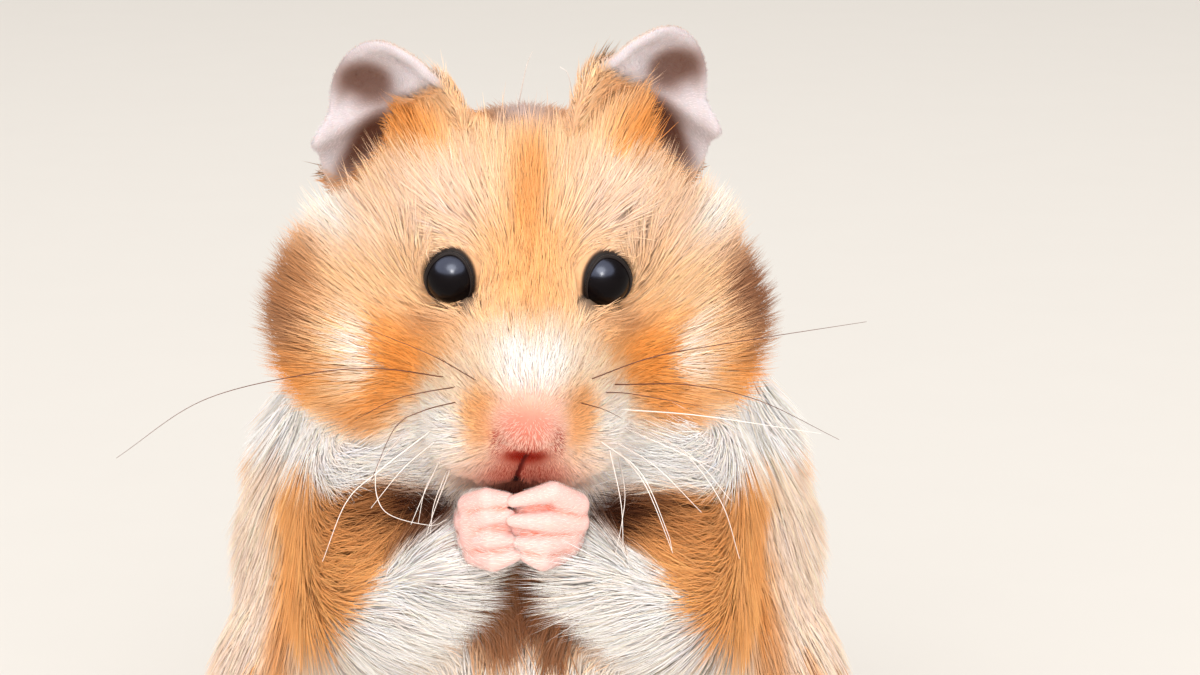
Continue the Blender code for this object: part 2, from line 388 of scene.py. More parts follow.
def lid_place(points, side):
    """How far each point is from an eye's axis, where 1 is the edge of the lids."""
    axis, across, rise = eye_frame(side)
    offset = points - EYE_CENTRES[side]
    away = np.arccos(np.clip(unit(offset) @ axis, -1, 1))
    return away / lid_edge(np.arctan2(offset @ rise, offset @ across))


def open_eyes(points):
    """The skin drawn behind each eyeball and up to its lids."""
    for side, eye in EYE_CENTRES.items():
        offset = points - eye
        away = np.linalg.norm(offset, axis=1)
        place = lid_place(points, side)
        wanted = np.where(place < 1, EYE_RADIUS * EYE_BEDDED, EYE_RADIUS + LID_STAND)
        pull = (1 - ramp(place, 1.15, 1.9)) * (away < 2 * EYE_RADIUS)
        points = eye + unit(offset) * (away + (wanted - away) * pull)[:, None]
    return points


def groove_aside(head):
    """How far points in the head's frame lie beside the line from the nose to the mouth."""
    return head[:, 0] - MOUTH[0] * ramp(head[:, 2], -9, MOUTH[2])


def face_shaped(block):
    """The block with its eyes opened, and its nostrils, upper lip's groove and mouth sunk in."""
    mesh = block.data
    set_points(mesh, open_eyes(points_of(mesh)))
    points = points_of(mesh)
    head = to_head(points)
    sunk = MOUTH_DEEP * bump(head, MOUTH, MOUTH_SIZE)
    for sign in SIDES.values():
        sunk += NOSTRIL_DEEP * bump(head, NOSTRIL * (sign, 1, 1), NOSTRIL_SIZE)
    along = ramp(head[:, 2], -15.5, -14.5) * (1 - ramp(head[:, 2], -10.2, -8.8)) * (head[:, 1] < -9)
    sunk += GROOVE_DEEP * np.exp(-((groove_aside(head) / GROOVE_HALF) ** 2)) * along
    set_points(mesh, points - normals_of(mesh) * sunk[:, None])
    return block


# ---- the ears

EAR_TURN = math.radians(32)
EAR_LEAN = math.radians(2)
EAR_CUP = 3.2
EAR_FLARE = 2.2
INNER_FLAT = 0.7  # how far the inner rim lies down against the head
EAR_TAPER = 0.05
EAR_OUTLINE = ((14, 40, 0.08), (88, 16, -0.07), (132, 28, 0.27))  # round from the top: middle, width, depth
EAR_FOLD = 2.2  # the crease that crosses the ear from its outer rim: its depth, place, slope and width
FOLD_RISE = 0.41
FOLD_SLOPE = 0.62
FOLD_HALF_WIDTH = 0.18
SHELL_HALF = 0.3  # half the ear's thickness in its middle
RIM_HALF = 0.48  # and in its rolled rim
RIM_STARTS = 0.93
EAR_RINGS = 19
RIM_RINGS = 8
EAR_SPOKES = 84
EAR_SIZE = np.array((14.2, 18.8))  # across and up
EAR_PLACE = {"left": np.array((9.4, 14.4, 9.5)), "right": np.array((11.0, 14.4, 7.2))}
EAR_TURNED = np.array(Matrix.Rotation(EAR_TURN, 3, "Z") @ Matrix.Rotation(EAR_LEAN, 3, "Y"))


def ear_middle(along, around):
    """The middle of the ear's shell: along runs from 0 at its centre to 1 at its rim."""
    across, rise = np.sin(around) * along, np.cos(around) * along
    crease = np.exp(-(((rise - FOLD_RISE + FOLD_SLOPE * across) / FOLD_HALF_WIDTH) ** 2))
    outline = 1
    for at, half, much in EAR_OUTLINE:
        turn = (around - math.radians(at) + math.pi) % (2 * math.pi) - math.pi
        outline = outline + much * np.exp(-((turn / math.radians(half)) ** 2)) * along**2
    wide = across * (1 - EAR_TAPER * rise) * EAR_SIZE[0] / 2 * outline
    cup = EAR_CUP * (1 - INNER_FLAT * ramp(-np.sin(around), 0.1, 0.9))
    deep = -cup * along**EAR_FLARE - EAR_FOLD * crease * along * (1 - INNER_FLAT * ramp(-across, 0.1, 0.6))
    return np.stack((wide, deep, rise * EAR_SIZE[1] / 2 * outline), axis=-1)


def ear_grid():
    """Points of the front and the back of an ear's shell, ring by ring, and its faces."""
    edge = np.sin(np.linspace(0, math.pi / 2, RIM_RINGS))
    along = np.concatenate((np.linspace(0, 0.9, EAR_RINGS)[1:], RIM_STARTS + (1 - RIM_STARTS) * edge))
    rings, spokes = np.meshgrid(along, np.arange(EAR_SPOKES) * 2 * math.pi / EAR_SPOKES, indexing="ij")
    step = 1e-3
    middle = ear_middle(rings, spokes)
    turn = ear_middle(rings, spokes + step) - middle
    face = unit(np.cross(turn, ear_middle(rings + step, spokes) - middle))
    face = face * np.where(face[..., 1:2] > 0, -1, 1)
    past = np.clip((rings - RIM_STARTS) / (1 - RIM_STARTS), 0, 1)
    half = (SHELL_HALF + (RIM_HALF - SHELL_HALF) * ramp(rings, 0.8, RIM_STARTS)) * np.sqrt(1 - past**2)
    front, back = (middle + face * way * half[..., None] for way in (1, -1))
    centre = ear_middle(np.zeros(1), np.zeros(1))
    points = [centre + (0, -SHELL_HALF, 0), centre + (0, SHELL_HALF, 0)]
    points += [front.reshape(-1, 3), back[:-1].reshape(-1, 3)]
    last = len(along) - 1

    def corner(ring, spoke, behind):
        row = ring + (last + 1) * (behind and ring < last)
        return 2 + row * EAR_SPOKES + spoke % EAR_SPOKES

    faces = []
    for behind in (False, True):
        for spoke in range(EAR_SPOKES):
            faces.append((int(behind), corner(0, spoke, behind), corner(0, spoke + 1, behind)))
            for ring in range(last):
                sides = ((ring, spoke), (ring + 1, spoke), (ring + 1, spoke + 1), (ring, spoke + 1))
                faces.append([corner(*place, behind) for place in sides])
    return np.concatenate(points), faces


def ear_placed(points, side):
    """Takes points from an ear's own frame to the part's."""
    return from_head((points @ EAR_TURNED.T + EAR_PLACE[side]) * (SIDES[side], 1, 1))


def facing_out(thing):
    """The closed object with all its faces pointing outwards."""
    mesh = bmesh.new()
    mesh.from_mesh(thing.data)
    bmesh.ops.recalc_face_normals(mesh, faces=mesh.faces)
    if mesh.calc_volume(signed=True) < 0:
        bmesh.ops.reverse_faces(mesh, faces=mesh.faces)
    mesh.to_mesh(thing.data)
    mesh.free()
    return thing


def fine_ear(side):
    points, faces = ear_grid()
    return facing_out(new_object(f"{side}_ear_skin", ear_placed(points, side), faces))


# ---- the forepaws and hind feet

PAW_MEET = np.array((-0.75, -33.0, 41.7))  # where the fingertips meet
# Knuckle, middle joint and tip of each finger, from the top one down: out from the meeting line, and up.
FINGERS = {
    "right": (
        ((3.7, 2.2), (2.2, 3.4), (0.2, 3.3)),
        ((4.0, 0.7), (2.2, 1.8), (0.1, 1.75)),
        ((3.8, -0.8), (2.0, -0.4), (0.1, -0.6)),
        ((3.3, -2.2), (1.6, -2.5), (-0.9, -1.8)),
    ),
    "left": (
        ((5.9, 2.3), (3.8, 4.1), (0.2, 3.2)),
        ((5.9, 0.7), (3.3, 1.3), (0.1, 1.4)),
        ((5.2, -0.7), (3.0, -1.0), (0.7, -0.7)),
        ((4.4, -2.0), (2.9, -2.35), (1.4, -2.0)),
    ),
}
FINGER_FRONT = {"right": (-0.4, -2.3, -2.0), "left": (-0.5, -2.6, -2.5)}  # how far each joint stands forward
FINGER_RADII = (1.3, 1.02, 0.6)
PALM = {"right": ((3.7, 1.5, -0.2), (1.8, 2.3, 3.1)), "left": ((4.5, 1.5, -0.1), (2.1, 2.3, 3.0))}
HAND_BACK = {"right": ((3.4, 0.3, -0.5), (1.5, 2.2, 2.7)), "left": ((5.1, 0.3, -0.3), (1.7, 2.3, 2.7))}
WRIST = ((4.6, 2.8, -2.0), (8.9, 2.4, -5.0), (12.2, 5.4, -7.6))
WRIST_RADII = (2.1, 1.9, 1.4)
PADS = ((2.4, -1.1, 0.5), (2.5, 1.3, 3.3))  # the palm's pads, behind the fingertips
PAW_VOXEL = 0.17
FOOT_HEEL = (14.6, -6.0, 3.2)
FOOT_BALL = (18.4, -19.0, 2.6)
FOOT_RADII = (3.0, 2.6)
TOES = ((-24, 4.6), (-11, 6.6), (1, 7.4), (13, 6.8), (27, 4.8))  # turn in degrees, and length
TOE_RADII = (1.25, 0.8)
TOE_FAN = 2.2
TOE_HEIGHT = 1.7
FOOT_VOXEL = 0.38


def finger_joints(side):
    """The joints of a forepaw's four fingers, from knuckle to tip."""
    for finger in FINGERS[side]:
        joints = [(out * SIDES[side], front, up) for (out, up), front in zip(finger, FINGER_FRONT[side])]
        yield list(PAW_MEET + np.array(joints))


def toe_joints(side):
    """The root and tip of each toe of a hind foot."""
    ball_of_foot, heel = (np.array(place) * (SIDES[side], 1, 1) for place in (FOOT_BALL, FOOT_HEEL))
    heading = math.atan2(ball_of_foot[1] - heel[1], ball_of_foot[0] - heel[0])
    aside = np.array((-math.sin(heading), math.cos(heading), 0)) * SIDES[side]
    for turn, length in TOES:
        angle = heading + math.radians(turn) * SIDES[side]
        root = ball_of_foot + aside * TOE_FAN * turn / TOES[-1][0]
        root[2] = TOE_HEIGHT
        tip = root + np.array((math.cos(angle), math.sin(angle), 0)) * length
        tip[2] = TOE_RADII[1]
        yield root, tip


def fine_forepaw(side):
    mesh = bmesh.new()
    mirror = np.array((SIDES[side], 1, 1))
    for centre, radii in (PALM[side], PADS, HAND_BACK[side]):
        ball(mesh, PAW_MEET + centre * mirror, radii)
    chain(mesh, [PAW_MEET + point * mirror for point in WRIST], WRIST_RADII)
    for joints in finger_joints(side):
        chain(mesh, joints, FINGER_RADII)
    return smoothed(fused(object_of(mesh, f"{side}_forepaw_skin"), PAW_VOXEL), 4)


def fine_hind_foot(side):
    mesh = bmesh.new()
    mirror = np.array((SIDES[side], 1, 1))
    bone(mesh, FOOT_HEEL * mirror, FOOT_BALL * mirror, FOOT_RADII)
    for joints in toe_joints(side):
        bone(mesh, *joints, TOE_RADII)
    return smoothed(fused(object_of(mesh, f"{side}_hind_foot_skin"), FOOT_VOXEL), 4)


def joined_skin():
    """Head, body, ears, paws and feet as one closed surface."""
    skin = face_shaped(body_skin())
    for side in SIDES:
        for piece in (fine_ear(side), fine_forepaw(side), fine_hind_foot(side)):
            union = skin.modifiers.new("union", "BOOLEAN")
            union.operation = "UNION"
            union.object = piece
            settled(skin)
            bpy.data.objects.remove(piece)
    return skin


# ---- the camera and the light

FLOOR_RADIUS = 3  # in metres
VIEW_TILT = math.radians(12)  # the camera looks down by this much
LENS = 110
SENSOR = 36
VIEW_WIDTH = 110.4  # how much the picture spans at the eyes
AIM_ASIDE = 7.36
AIM_UNDER = 5.57
FRONT = np.array((0, -math.cos(VIEW_TILT), math.sin(VIEW_TILT)))  # towards the viewer
RISE = np.array((0, math.sin(VIEW_TILT), math.cos(VIEW_TILT)))  # up in the front view
BODY_MIDDLE = (0, -0.01, 0.045)  # in metres, as are the lights' places and sizes
EYE_LEVEL = (0, -0.027, 0.064)
# Name, place, target, size, watts and colour. Those named for the eyes shine on nothing else.
LIGHTS = (
    ("window", (-0.04, -0.72, 0.6), BODY_MIDDLE, (1.0, 0.6), 3.9, (0.95, 0.97, 1.0)),
    ("front_fill", (0.05, -0.85, 0.1), BODY_MIDDLE, (1.4, 0.3), 5.6, (1.0, 0.95, 0.9)),
    ("top", (0, 0.25, 0.95), BODY_MIDDLE, (0.9, 0.7), 2.6, (1.0, 0.98, 0.95)),
    ("sky_in_the_eyes", (-0.1, -0.4, 0.44), EYE_LEVEL, (1.6, 0.75), 60, (0.62, 0.7, 1.0)),
    ("glow_in_the_eyes", (-0.05, -0.5, 0.4), EYE_LEVEL, (0.36, 0.26), 9, (0.8, 0.86, 1.0)),
    ("spark_in_the_eyes", (-0.03, -0.72, 0.33), EYE_LEVEL, (0.13, 0.13), 8, (1.0, 1.0, 1.0)),
)
EYES = bpy.data.collections.new("eyes")


def add_camera():
    data = bpy.data.cameras.new("front_camera")
    data.lens = LENS
    data.sensor_width = SENSOR
    data.clip_start = 0.01
    camera = linked("front_camera", data)
    aim = HEAD_ORIGIN * (0, 1, 1) + (AIM_ASIDE, 0, 0) - RISE * AIM_UNDER
    camera.location = Vector((aim + FRONT * VIEW_WIDTH * LENS / SENSOR) * MM)
    camera.rotation_euler = (math.pi / 2 - VIEW_TILT, 0, 0)
    bpy.context.scene.camera = camera


def add_lights():
    for name, place, target, size, watts, colour in LIGHTS:
        data = bpy.data.lights.new(name, "AREA")
        data.shape = "ELLIPSE"
        data.size, data.size_y = size
        data.energy = watts
        data.color = colour
        panel = linked(name, data)
        panel.location = place
        panel.rotation_euler = (Vector(target) - Vector(place)).to_track_quat("-Z", "Y").to_euler()
        panel.visible_glossy = name != "front_fill"
        if "eyes" in name:
            panel.light_linking.receiver_collection = EYES


# ---- materials


def wired(tree, nodes, wires, presets=()):
    """Adds nodes by kind and operation, joins "node.socket > node.socket" and sets "node.socket" values."""
    made = dict(nodes)
    for name, kind in nodes.items():
        if isinstance(kind, str):
            kind, *operation = kind.split()
            made[name] = tree.nodes.new(kind)
            if operation:
                made[name].operation = operation[0]

    def socket(side, end):
        name, key = end.split(".")
        return getattr(made[name], side)[int(key) if key.isdigit() else key]

    for wire in wires:
        start, end = wire.split(" > ")
        tree.links.new(socket("outputs", start), socket("inputs", end))
    for end, value in dict(presets).items():
        socket("inputs", end).default_value = value
    return made


def node_group(name, kind, inputs, outputs):
    """An empty group with named sockets, given as name and kind."""
    group = bpy.data.node_groups.new(name, kind)
    for way, sockets in (("INPUT", inputs), ("OUTPUT", outputs)):
        for label, sort in sockets.items():
            group.interface.new_socket(label, in_out=way, socket_type=f"NodeSocket{sort}")
    return group


def speckle_group():
    """Colour broken up in fine soft grains, and the height of those grains."""
    inputs = {"Colour": "Color", "Grain Scale": "Float", "Contrast": "Float"}
    group = node_group("soft_speckle", "ShaderNodeTree", inputs, {"Colour": "Color", "Height": "Float"})
    nodes = {
        "given": "NodeGroupInput",
        "result": "NodeGroupOutput",
        "place": "ShaderNodeTexCoord",
        "grain": "ShaderNodeTexNoise",
        "centred": "ShaderNodeMath SUBTRACT",
        "swing": "ShaderNodeMath MULTIPLY_ADD",
        "tint": "ShaderNodeVectorMath SCALE",
    }
    wires = (
        "place.Object > grain.Vector",
        "given.Grain Scale > grain.Scale",
        "grain.Fac > centred.0",
        "centred.0 > swing.0",
        "given.Contrast > swing.1",
        "given.Colour > tint.0",
        "swing.0 > tint.Scale",
        "tint.0 > result.Colour",
        "grain.Fac > result.Height",
    )
    wired(group, nodes, wires, {"grain.Detail": 3, "centred.1": 0.5, "swing.2": 1})
    return group


def strand_group():
    """Nodes that turn curves into closed tubes, thin at their tips."""
    inputs = {"Geometry": "Geometry", "Root Radius": "Float", "Tip Radius": "Float", "Sides": "Int"}
    inputs.update({"Steps": "Int", "Finish": "Material"})
    tree = node_group("tapered_strands", "GeometryNodeTree", inputs, {"Geometry": "Geometry"})
    nodes = {
        "given": "NodeGroupInput",
        "result": "NodeGroupOutput",
        "steps": "GeometryNodeResampleCurve",
        "where": "GeometryNodeSplineParameter",
        "taper": "ShaderNodeMapRange",
        "section": "GeometryNodeCurvePrimitiveCircle",
        "sweep": "GeometryNodeCurveToMesh",
        "real": "GeometryNodeRealizeInstances",
        "finish": "GeometryNodeSetMaterial",
    }
    wires = (
        "given.Geometry > steps.Curve",
        "given.Steps > steps.Count",
        "where.Factor > taper.Value",
        "given.Root Radius > taper.To Min",
        "given.Tip Radius > taper.To Max",
        "given.Sides > section.Resolution",
        "steps.Curve > sweep.Curve",
        "section.Curve > sweep.Profile Curve",
        "taper.Result > sweep.Scale",
        "sweep.Mesh > real.Geometry",
        "real.Geometry > finish.Geometry",
        "given.Finish > finish.Material",
        "finish.Geometry > result.Geometry",
    )
    wired(tree, nodes, wires, {"section.Radius": 1, "sweep.Fill Caps": True})
    return tree


MARKING = "marking"  # the attribute that holds a piece's own colours
SPECKLE = speckle_group()
STRANDS = strand_group()


def linear(shade):
    """Screen values of 0 to 255 as linear light."""
    part = np.asarray(shade) / 255
    return np.where(part <= 0.04045, part / 12.92, ((part + 0.055) / 1.055) ** 2.4)


def speckled(name, grain, contrast, relief, settings, colour=None):
    """A material whose colour is one value or, without one, the piece's own marking."""
    material = bpy.data.materials.new(name)
    material.use_nodes = True
    shader = material.node_tree.nodes["Principled BSDF"]
    nodes = {"shader": shader, "speckle": "ShaderNodeGroup"}
    made = wired(material.node_tree, nodes, ())
    made["speckle"].node_tree = SPECKLE
    values = {f"shader.{socket}": value for socket, value in settings.items()}
    values.update({"speckle.Grain Scale": grain, "speckle.Contrast": contrast})
    wires = ["speckle.Colour > shader.Base Color"]
    if colour is None:
        made["marking"] = "ShaderNodeAttribute"
        wires.append("marking.Color > speckle.Colour")
    else:
        values["speckle.Colour"] = (*linear(colour), 1)
    if relief:
        made["bumps"] = "ShaderNodeBump"
        wires += ["speckle.Height > bumps.Height", "bumps.Normal > shader.Normal"]
        values.update({"bumps.Strength": 0.5, "bumps.Distance": relief * MM})
    made = wired(material.node_tree, made, wires, values)
    if colour is None:
        made["marking"].attribute_name = MARKING
    return material


HAIR = speckled("hair", 900, 0.08, 0, {"Roughness": 0.7, "Specular IOR Level": 0.1})
SOFT = {"Subsurface Weight": 0.25, "Subsurface Radius": (1.0, 0.4, 0.25), "Subsurface Scale": 0.0012}
BARE_SKIN = speckled("bare_skin", 2600, 0.16, 0.05, {"Roughness": 0.5, "Specular IOR Level": 0.35, **SOFT})
EYEBALL = speckled("eyeball", 400, 0.3, 0, {"Roughness": 0.22, "Specular IOR Level": 0.08}, (2, 1, 1))
LID_RIM = speckled("lid_rim", 3000, 0.4, 0.05, {"Roughness": 0.35, "Specular IOR Level": 0.3}, (24, 15, 13))
CLAW = speckled("claw", 1500, 0.15, 0, {"Roughness": 0.3}, (226, 205, 192))
DARK_WHISKER = speckled("dark_whisker", 300, 0.3, 0, {"Roughness": 0.35}, (96, 52, 34))
PALE_WHISKER = speckled("pale_whisker", 300, 0.1, 0, {"Roughness": 0.35}, (246, 236, 228))
FLOOR = speckled("floor_paper", 60, 0.02, 0, {"Roughness": 0.9}, (216, 212, 206))


def add_world():
    world = bpy.data.worlds.new("studio")
    world.use_nodes = True
    nodes = {
        "place": "ShaderNodeTexCoord",
        "split": "ShaderNodeSeparateXYZ",
        "shade": "ShaderNodeMapRange",
        "light": world.node_tree.nodes["Background"],
    }
    wires = ("place.Generated > split.0", "split.Z > shade.Value", "shade.0 > light.Strength")
    values = {"light.Color": (1.0, 0.97, 0.94, 1), "shade.From Min": -0.1, "shade.From Max": 0.7}
    wired(world.node_tree, nodes, wires, {**values, "shade.To Min": 0.8, "shade.To Max": 0.95})
    bpy.context.scene.world = world


def add_floor():
    disc = bmesh.new()
    bmesh.ops.create_circle(disc, cap_ends=True, segments=96, radius=FLOOR_RADIUS)
    floor = object_of(disc, "floor")
    floor.data.materials.append(FLOOR)


# ---- the markings

SHADES = {
    "golden": (222, 146, 84),
    "tan": (246, 172, 106),
    "apricot": (247, 196, 150),
    "cream": (247, 208, 182),
    "orange": (230, 142, 66),
    "umber": (126, 82, 58),
    # painted shadow under the chin
    "bark": (70, 36, 20),
    "grey_brown": (168, 132, 114),
    "grey": (188, 164, 156),
    "white": (255, 244, 238),
    "milk": (253, 232, 216),
    "flank": (249, 218, 196),
    "belly": (240, 226, 214),
    "nose_pink": (210, 122, 102),
    "rose": (236, 170, 146),
    "peach": (234, 188, 160),
    # the nose's red skin, darkened as painted shade on its underside and in the creases beside it
    "nose_red": (150, 32, 18),
    "lip": (156, 62, 48),
    # mouth: painted shade, near black, for the insides of the mouth and nostrils, the groove under the nose
    # and the hollow under the lips
    "mouth": (66, 6, 4),
    "paw": (236, 196, 190),
    # the paws' pink skin, deepened as painted shade in the grooves between fingers and toes
    "paw_pink": (222, 130, 108),
    "nose_hair": (238, 186, 168),
    "lip_hair": (182, 98, 80),
    "ear_rim": (198, 189, 192),
    # painted shade in the hollows of the ears' fronts
    "ear_inside": (84, 50, 38),
    "ear_back": (206, 186, 174),
    "lid": (18, 11, 11),
}
# Soft spots on the front of the head: shade, centre across and up, half sizes, strength. Across is measured
# from the middle, and mirrored where it is over MIRROR_FROM; up is from the eyes, as seen from the front.
MIRROR_FROM = 0.8
FACE_SPOTS = (
    ("cream", (8.0, 7.2), (5.5, 4.5), 0.9),
    ("cream", (16.5, 5.0), (4.0, 3.6), 0.9),
    ("white", (17.6, 5.4), (2.2, 2.2), 0.7),
    ("orange", (0.0, 7.6), (1.7, 5.0), 0.55),
    ("orange", (0.0, 0.5), (4.2, 6.0), 0.42),
    ("orange", (10.8, 13.2), (3.4, 2.4), 0.85),
    ("grey", (0.0, 15.8), (3.4, 2.6), 1.0),
    ("grey_brown", (1.8, 14.4), (1.0, 1.0), 0.5),
    ("orange", (11.8, -7.6), (3.8, 4.4), 0.95),
    ("orange", (14.2, -12.2), (3.2, 2.6), 0.8),
    ("grey_brown", (8.6, -4.4), (2.4, 1.4), 0.45),
    ("milk", (15.6, -6.8), (1.15, 3.6), 0.95),
    ("orange", (20.0, -9.2), (2.6, 3.6), 0.75),
    ("umber", (21.2, -3.4), (1.9, 4.6), 0.75),
    ("milk", (4.6, -6.8), (3.0, 3.2), 0.55),
    ("white", (1.1, -8.2), (2.7, 3.6), 0.95),
    ("milk", (6.6, -13.4), (3.6, 4.6), 0.95),
    ("white", (8.0, -15.0), (3.2, 3.2), 0.8),
    ("milk", (4.0, -18.6), (4.5, 2.4), 0.7),
    ("peach", (0.0, -17.2), (6.6, 3.4), 0.85),
    ("rose", (0.0, -12.4), (4.4, 2.8), 0.6),
    ("orange", (4.7, -12.8), (1.6, 3.1), 0.68),
    ("orange", (8.2, -5.6), (2.8, 2.4), 0.35),
    ("milk", (10.6, 19.4), (2.4, 1.6), 0.8),
    ("umber", (20.3, -1.4), (2.3, 4.2), 0.8),
    ("tan", (-19.8, -1.4), (2.3, 4.0), 0.4),
)
# Spots as seen from the front: the centre across and up from the eyes, and the half sizes.
NOSE_PAD = ((-0.1, -14.2), (3.3, 2.7))
# the nose's underside, painted dark red as shade under it
NOSE_UNDER = ((-0.2, -16.2), (2.1, 0.75))
NOSE_TUFTS = ((-0.1, -14.6), (3.0, 1.6))
NOSE_BRIDGE = ((0.3, -12.2), (1.7, 1.1))  # bare
# the creases beside the nose, painted dark red as shade
NOSE_CREASES = ((2.9, -15.2), (0.55, 1.3))
LIPS = ((-0.5, -18.1), (4.2, 1.7))
# the hollow under the lips, painted near black as shade on skin and hair
UNDER_LIPS = ((-1.2, -19.9), (2.3, 0.9))
NOSE_AND_LIPS = {"nose": NOSE_PAD, "under_nose": NOSE_UNDER, "lips": LIPS, "under_lips": UNDER_LIPS}
BETWEEN_ARMS = ((0.5, -29.0), (1.7, 3.6))  # the gap under the paws, painted dark as shade
# where the shadow under the chin is painted on the chest
UNDER_CHIN = ((8.4, -21.4), (6.6, 3.2))
FOREARM_TOP = -18.8  # the white of the forearms as seen from the front: its height at the middle
FOREARM_SLOPE = 0.615  # and how it falls away to the sides
ELBOW_DROP = 1.2  # more steeply at the elbows


def front_spot(points, centre, half):
    """1 at the middle of a soft spot as seen from the front, and 0 well outside it."""
    offset = points - HEAD_ORIGIN
    seen = np.stack((offset[:, 0], offset @ RISE), axis=1)
    return np.exp(-(np.sum(((seen - centre) / half) ** 2, axis=1) ** 1.5))


def mixed(under, over, mask):
    """One array's rows drawn towards another's by a mask from 0 to 1."""
    return under + (over - under) * np.clip(mask, 0, 1)[:, None]


def painted(colour, layers):
    """Screen colours with shades laid over them, one after another, each through its mask."""
    for shade, mask in layers:
        colour = mixed(colour, np.array(SHADES[shade]), mask)
    return colour


def facial(parts):
    return np.clip(share(parts, "head", "nose") * 1.2, 0, 1)


def head_markings(points, normals, up, rough):
    """Screen colours of the head's coat; rough is the noise that frays the edges of its markings."""
    rear = ramp(points @ HEAD[1] - HEAD_ORIGIN @ HEAD[1] + rough, 10, 17)
    throat = (1 - ramp(up + rough * 0.5, -14, -10.5)) * (1 - rear)
    colour = np.tile(np.array(SHADES["apricot"], float), (len(points), 1))
    colour = painted(colour, (("golden", rear), ("umber", rear * 0.3), ("white", throat)))
    across = to_head(points)[:, 0]
    ragged = noise(points, 1.6, 3) * 0.5 + noise(points, 0.7, 4) * 0.3
    fronting = ramp(normals @ FRONT, -0.35, 0.25)
    for shade, centre, half, strength in FACE_SPOTS:
        aside = np.abs(across) if centre[0] > MIRROR_FROM else across
        spot = np.stack((aside + ragged * 0.7, up + ragged), axis=1)
        mask = np.exp(-(np.sum(((spot - centre) / half) ** 2, axis=1) ** 1.5))
        colour = painted(colour, ((shade, mask * strength * fronting),))
    return colour


def markings(points, normals, parts, on_head):
    """Screen colours of the coat at each point; on_head is 1 on the head and 0 off it."""
    x, y, z = points.T
    ragged = noise(points, 4.5, 1) * 1.5 + noise(points, 1.5, 2) * 0.9
    side = np.abs(x)
    up = (points - HEAD_ORIGIN) @ RISE
    band = z + 0.12 * y + ragged * 1.7
    front = (1 - ramp(y + ragged * 0.8, -3, 4)) * (1 - ramp(side + ragged, 21.4, 24.6))
    above = ramp(z + ragged * 0.7, 41.5, 43.5)
    chest = front * ramp(z + ragged, 26, 29) * (1 - above)
    under_chin = np.stack((side + ragged * 0.5, up + ragged * 0.4), axis=1)
    edge = FOREARM_TOP - FOREARM_SLOPE * side - ELBOW_DROP * np.maximum(side - 13, 0)
    low_front = (1 - ramp(z + ragged, 25, 29)) * (1 - ramp(y + side * 0.5 + ragged, -8, 0))
    body = np.tile(np.array(SHADES["golden"], float), (len(points), 1))
    layers = (
        ("umber", ramp(y + ragged, 8, 20) * 0.35),
        ("flank", ramp(band, 17, 20) * (1 - ramp(band, 41, 44)) * ramp(side + y, 8, 16)),
        ("tan", chest),
        # partly darker hair and partly painted shade under the chin, between the arms
        ("umber", chest * (1 - ramp(side + ragged, 8.5, 14)) * 0.85),
        # painted shadow under the chin
        ("bark", chest * bump(under_chin, *UNDER_CHIN) * 1.6),
        ("white", above * (1 - ramp(y + ragged, 2, 8))),
        ("white", (1 - ramp(up + ragged * 0.5 - edge, -1, 0.6)) * share(parts, "foreleg")),
        ("belly", low_front),
        ("belly", 1 - ramp(z + ragged * 0.6, 4, 8)),
        # painted shade in the gap under the paws
        ("umber", ramp(front_spot(points, *BETWEEN_ARMS), 0.15, 0.5) * (y < 0)),
    )
    return mixed(painted(body, layers), head_markings(points, normals, up, ragged), on_head)


# ---- the skin's colours and the lie of the hair

# The ears' two hollows, where the skin is painted dark as shade
UPPER_HOLLOW = ((0.47, 0.46), (0.4, 0.29))  # in an ear's own across and rise, from -1 to 1
LOWER_HOLLOW = ((0.53, -0.38), (0.27, 0.52))
HOLLOW_SLANT = -0.48
EAR_TUFTS = (0.2, -0.2, 0.95)  # how the long hair lies on the inner half of an ear, in the ear's frame
ELBOW = np.array((16.6, -22.5, 31.0))  # the left arm's joints
ARM_WRIST = np.array((8.4, -31.8, 36.4))
UPPER_ARM_LIE = unit(np.array((-0.55, 0, -0.8)))  # on the left: in and down towards the paws
FOREARM_LIE = unit(np.array((-0.9, 0, 0.12)))
NOSE_WHORL = np.array((0, -15.0, -3.0))  # in the head's frame: the hair of the nose lies away from here


def ear_place(points, side):
    """Across and rise of each point in an ear's own frame, from -1 to 1."""
    own = (to_head(points) * (SIDES[side], 1, 1) - EAR_PLACE[side]) @ EAR_TURNED
    return own[:, 0] / (EAR_SIZE[0] / 2), own[:, 2] / (EAR_SIZE[1] / 2)


def ear_front(normals, side):
    turned = normals @ HEAD.T * (SIDES[side], 1, 1)
    return ramp(-(turned @ EAR_TURNED)[:, 1], -0.1, 0.35)


def ear_hollow(points, side):
    """How much of each point of an ear's front is a hollow."""
    across, rise = ear_place(points, side)
    leaned = across - HOLLOW_SLANT * (rise - LOWER_HOLLOW[0][1])
    upper = bump(np.stack((across, rise), axis=1), *UPPER_HOLLOW)
    lower = bump(np.stack((leaned, rise), axis=1), *LOWER_HOLLOW)
    return np.maximum(ramp(upper, 0.05, 0.85) * 0.8, ramp(lower, 0.1, 0.8))


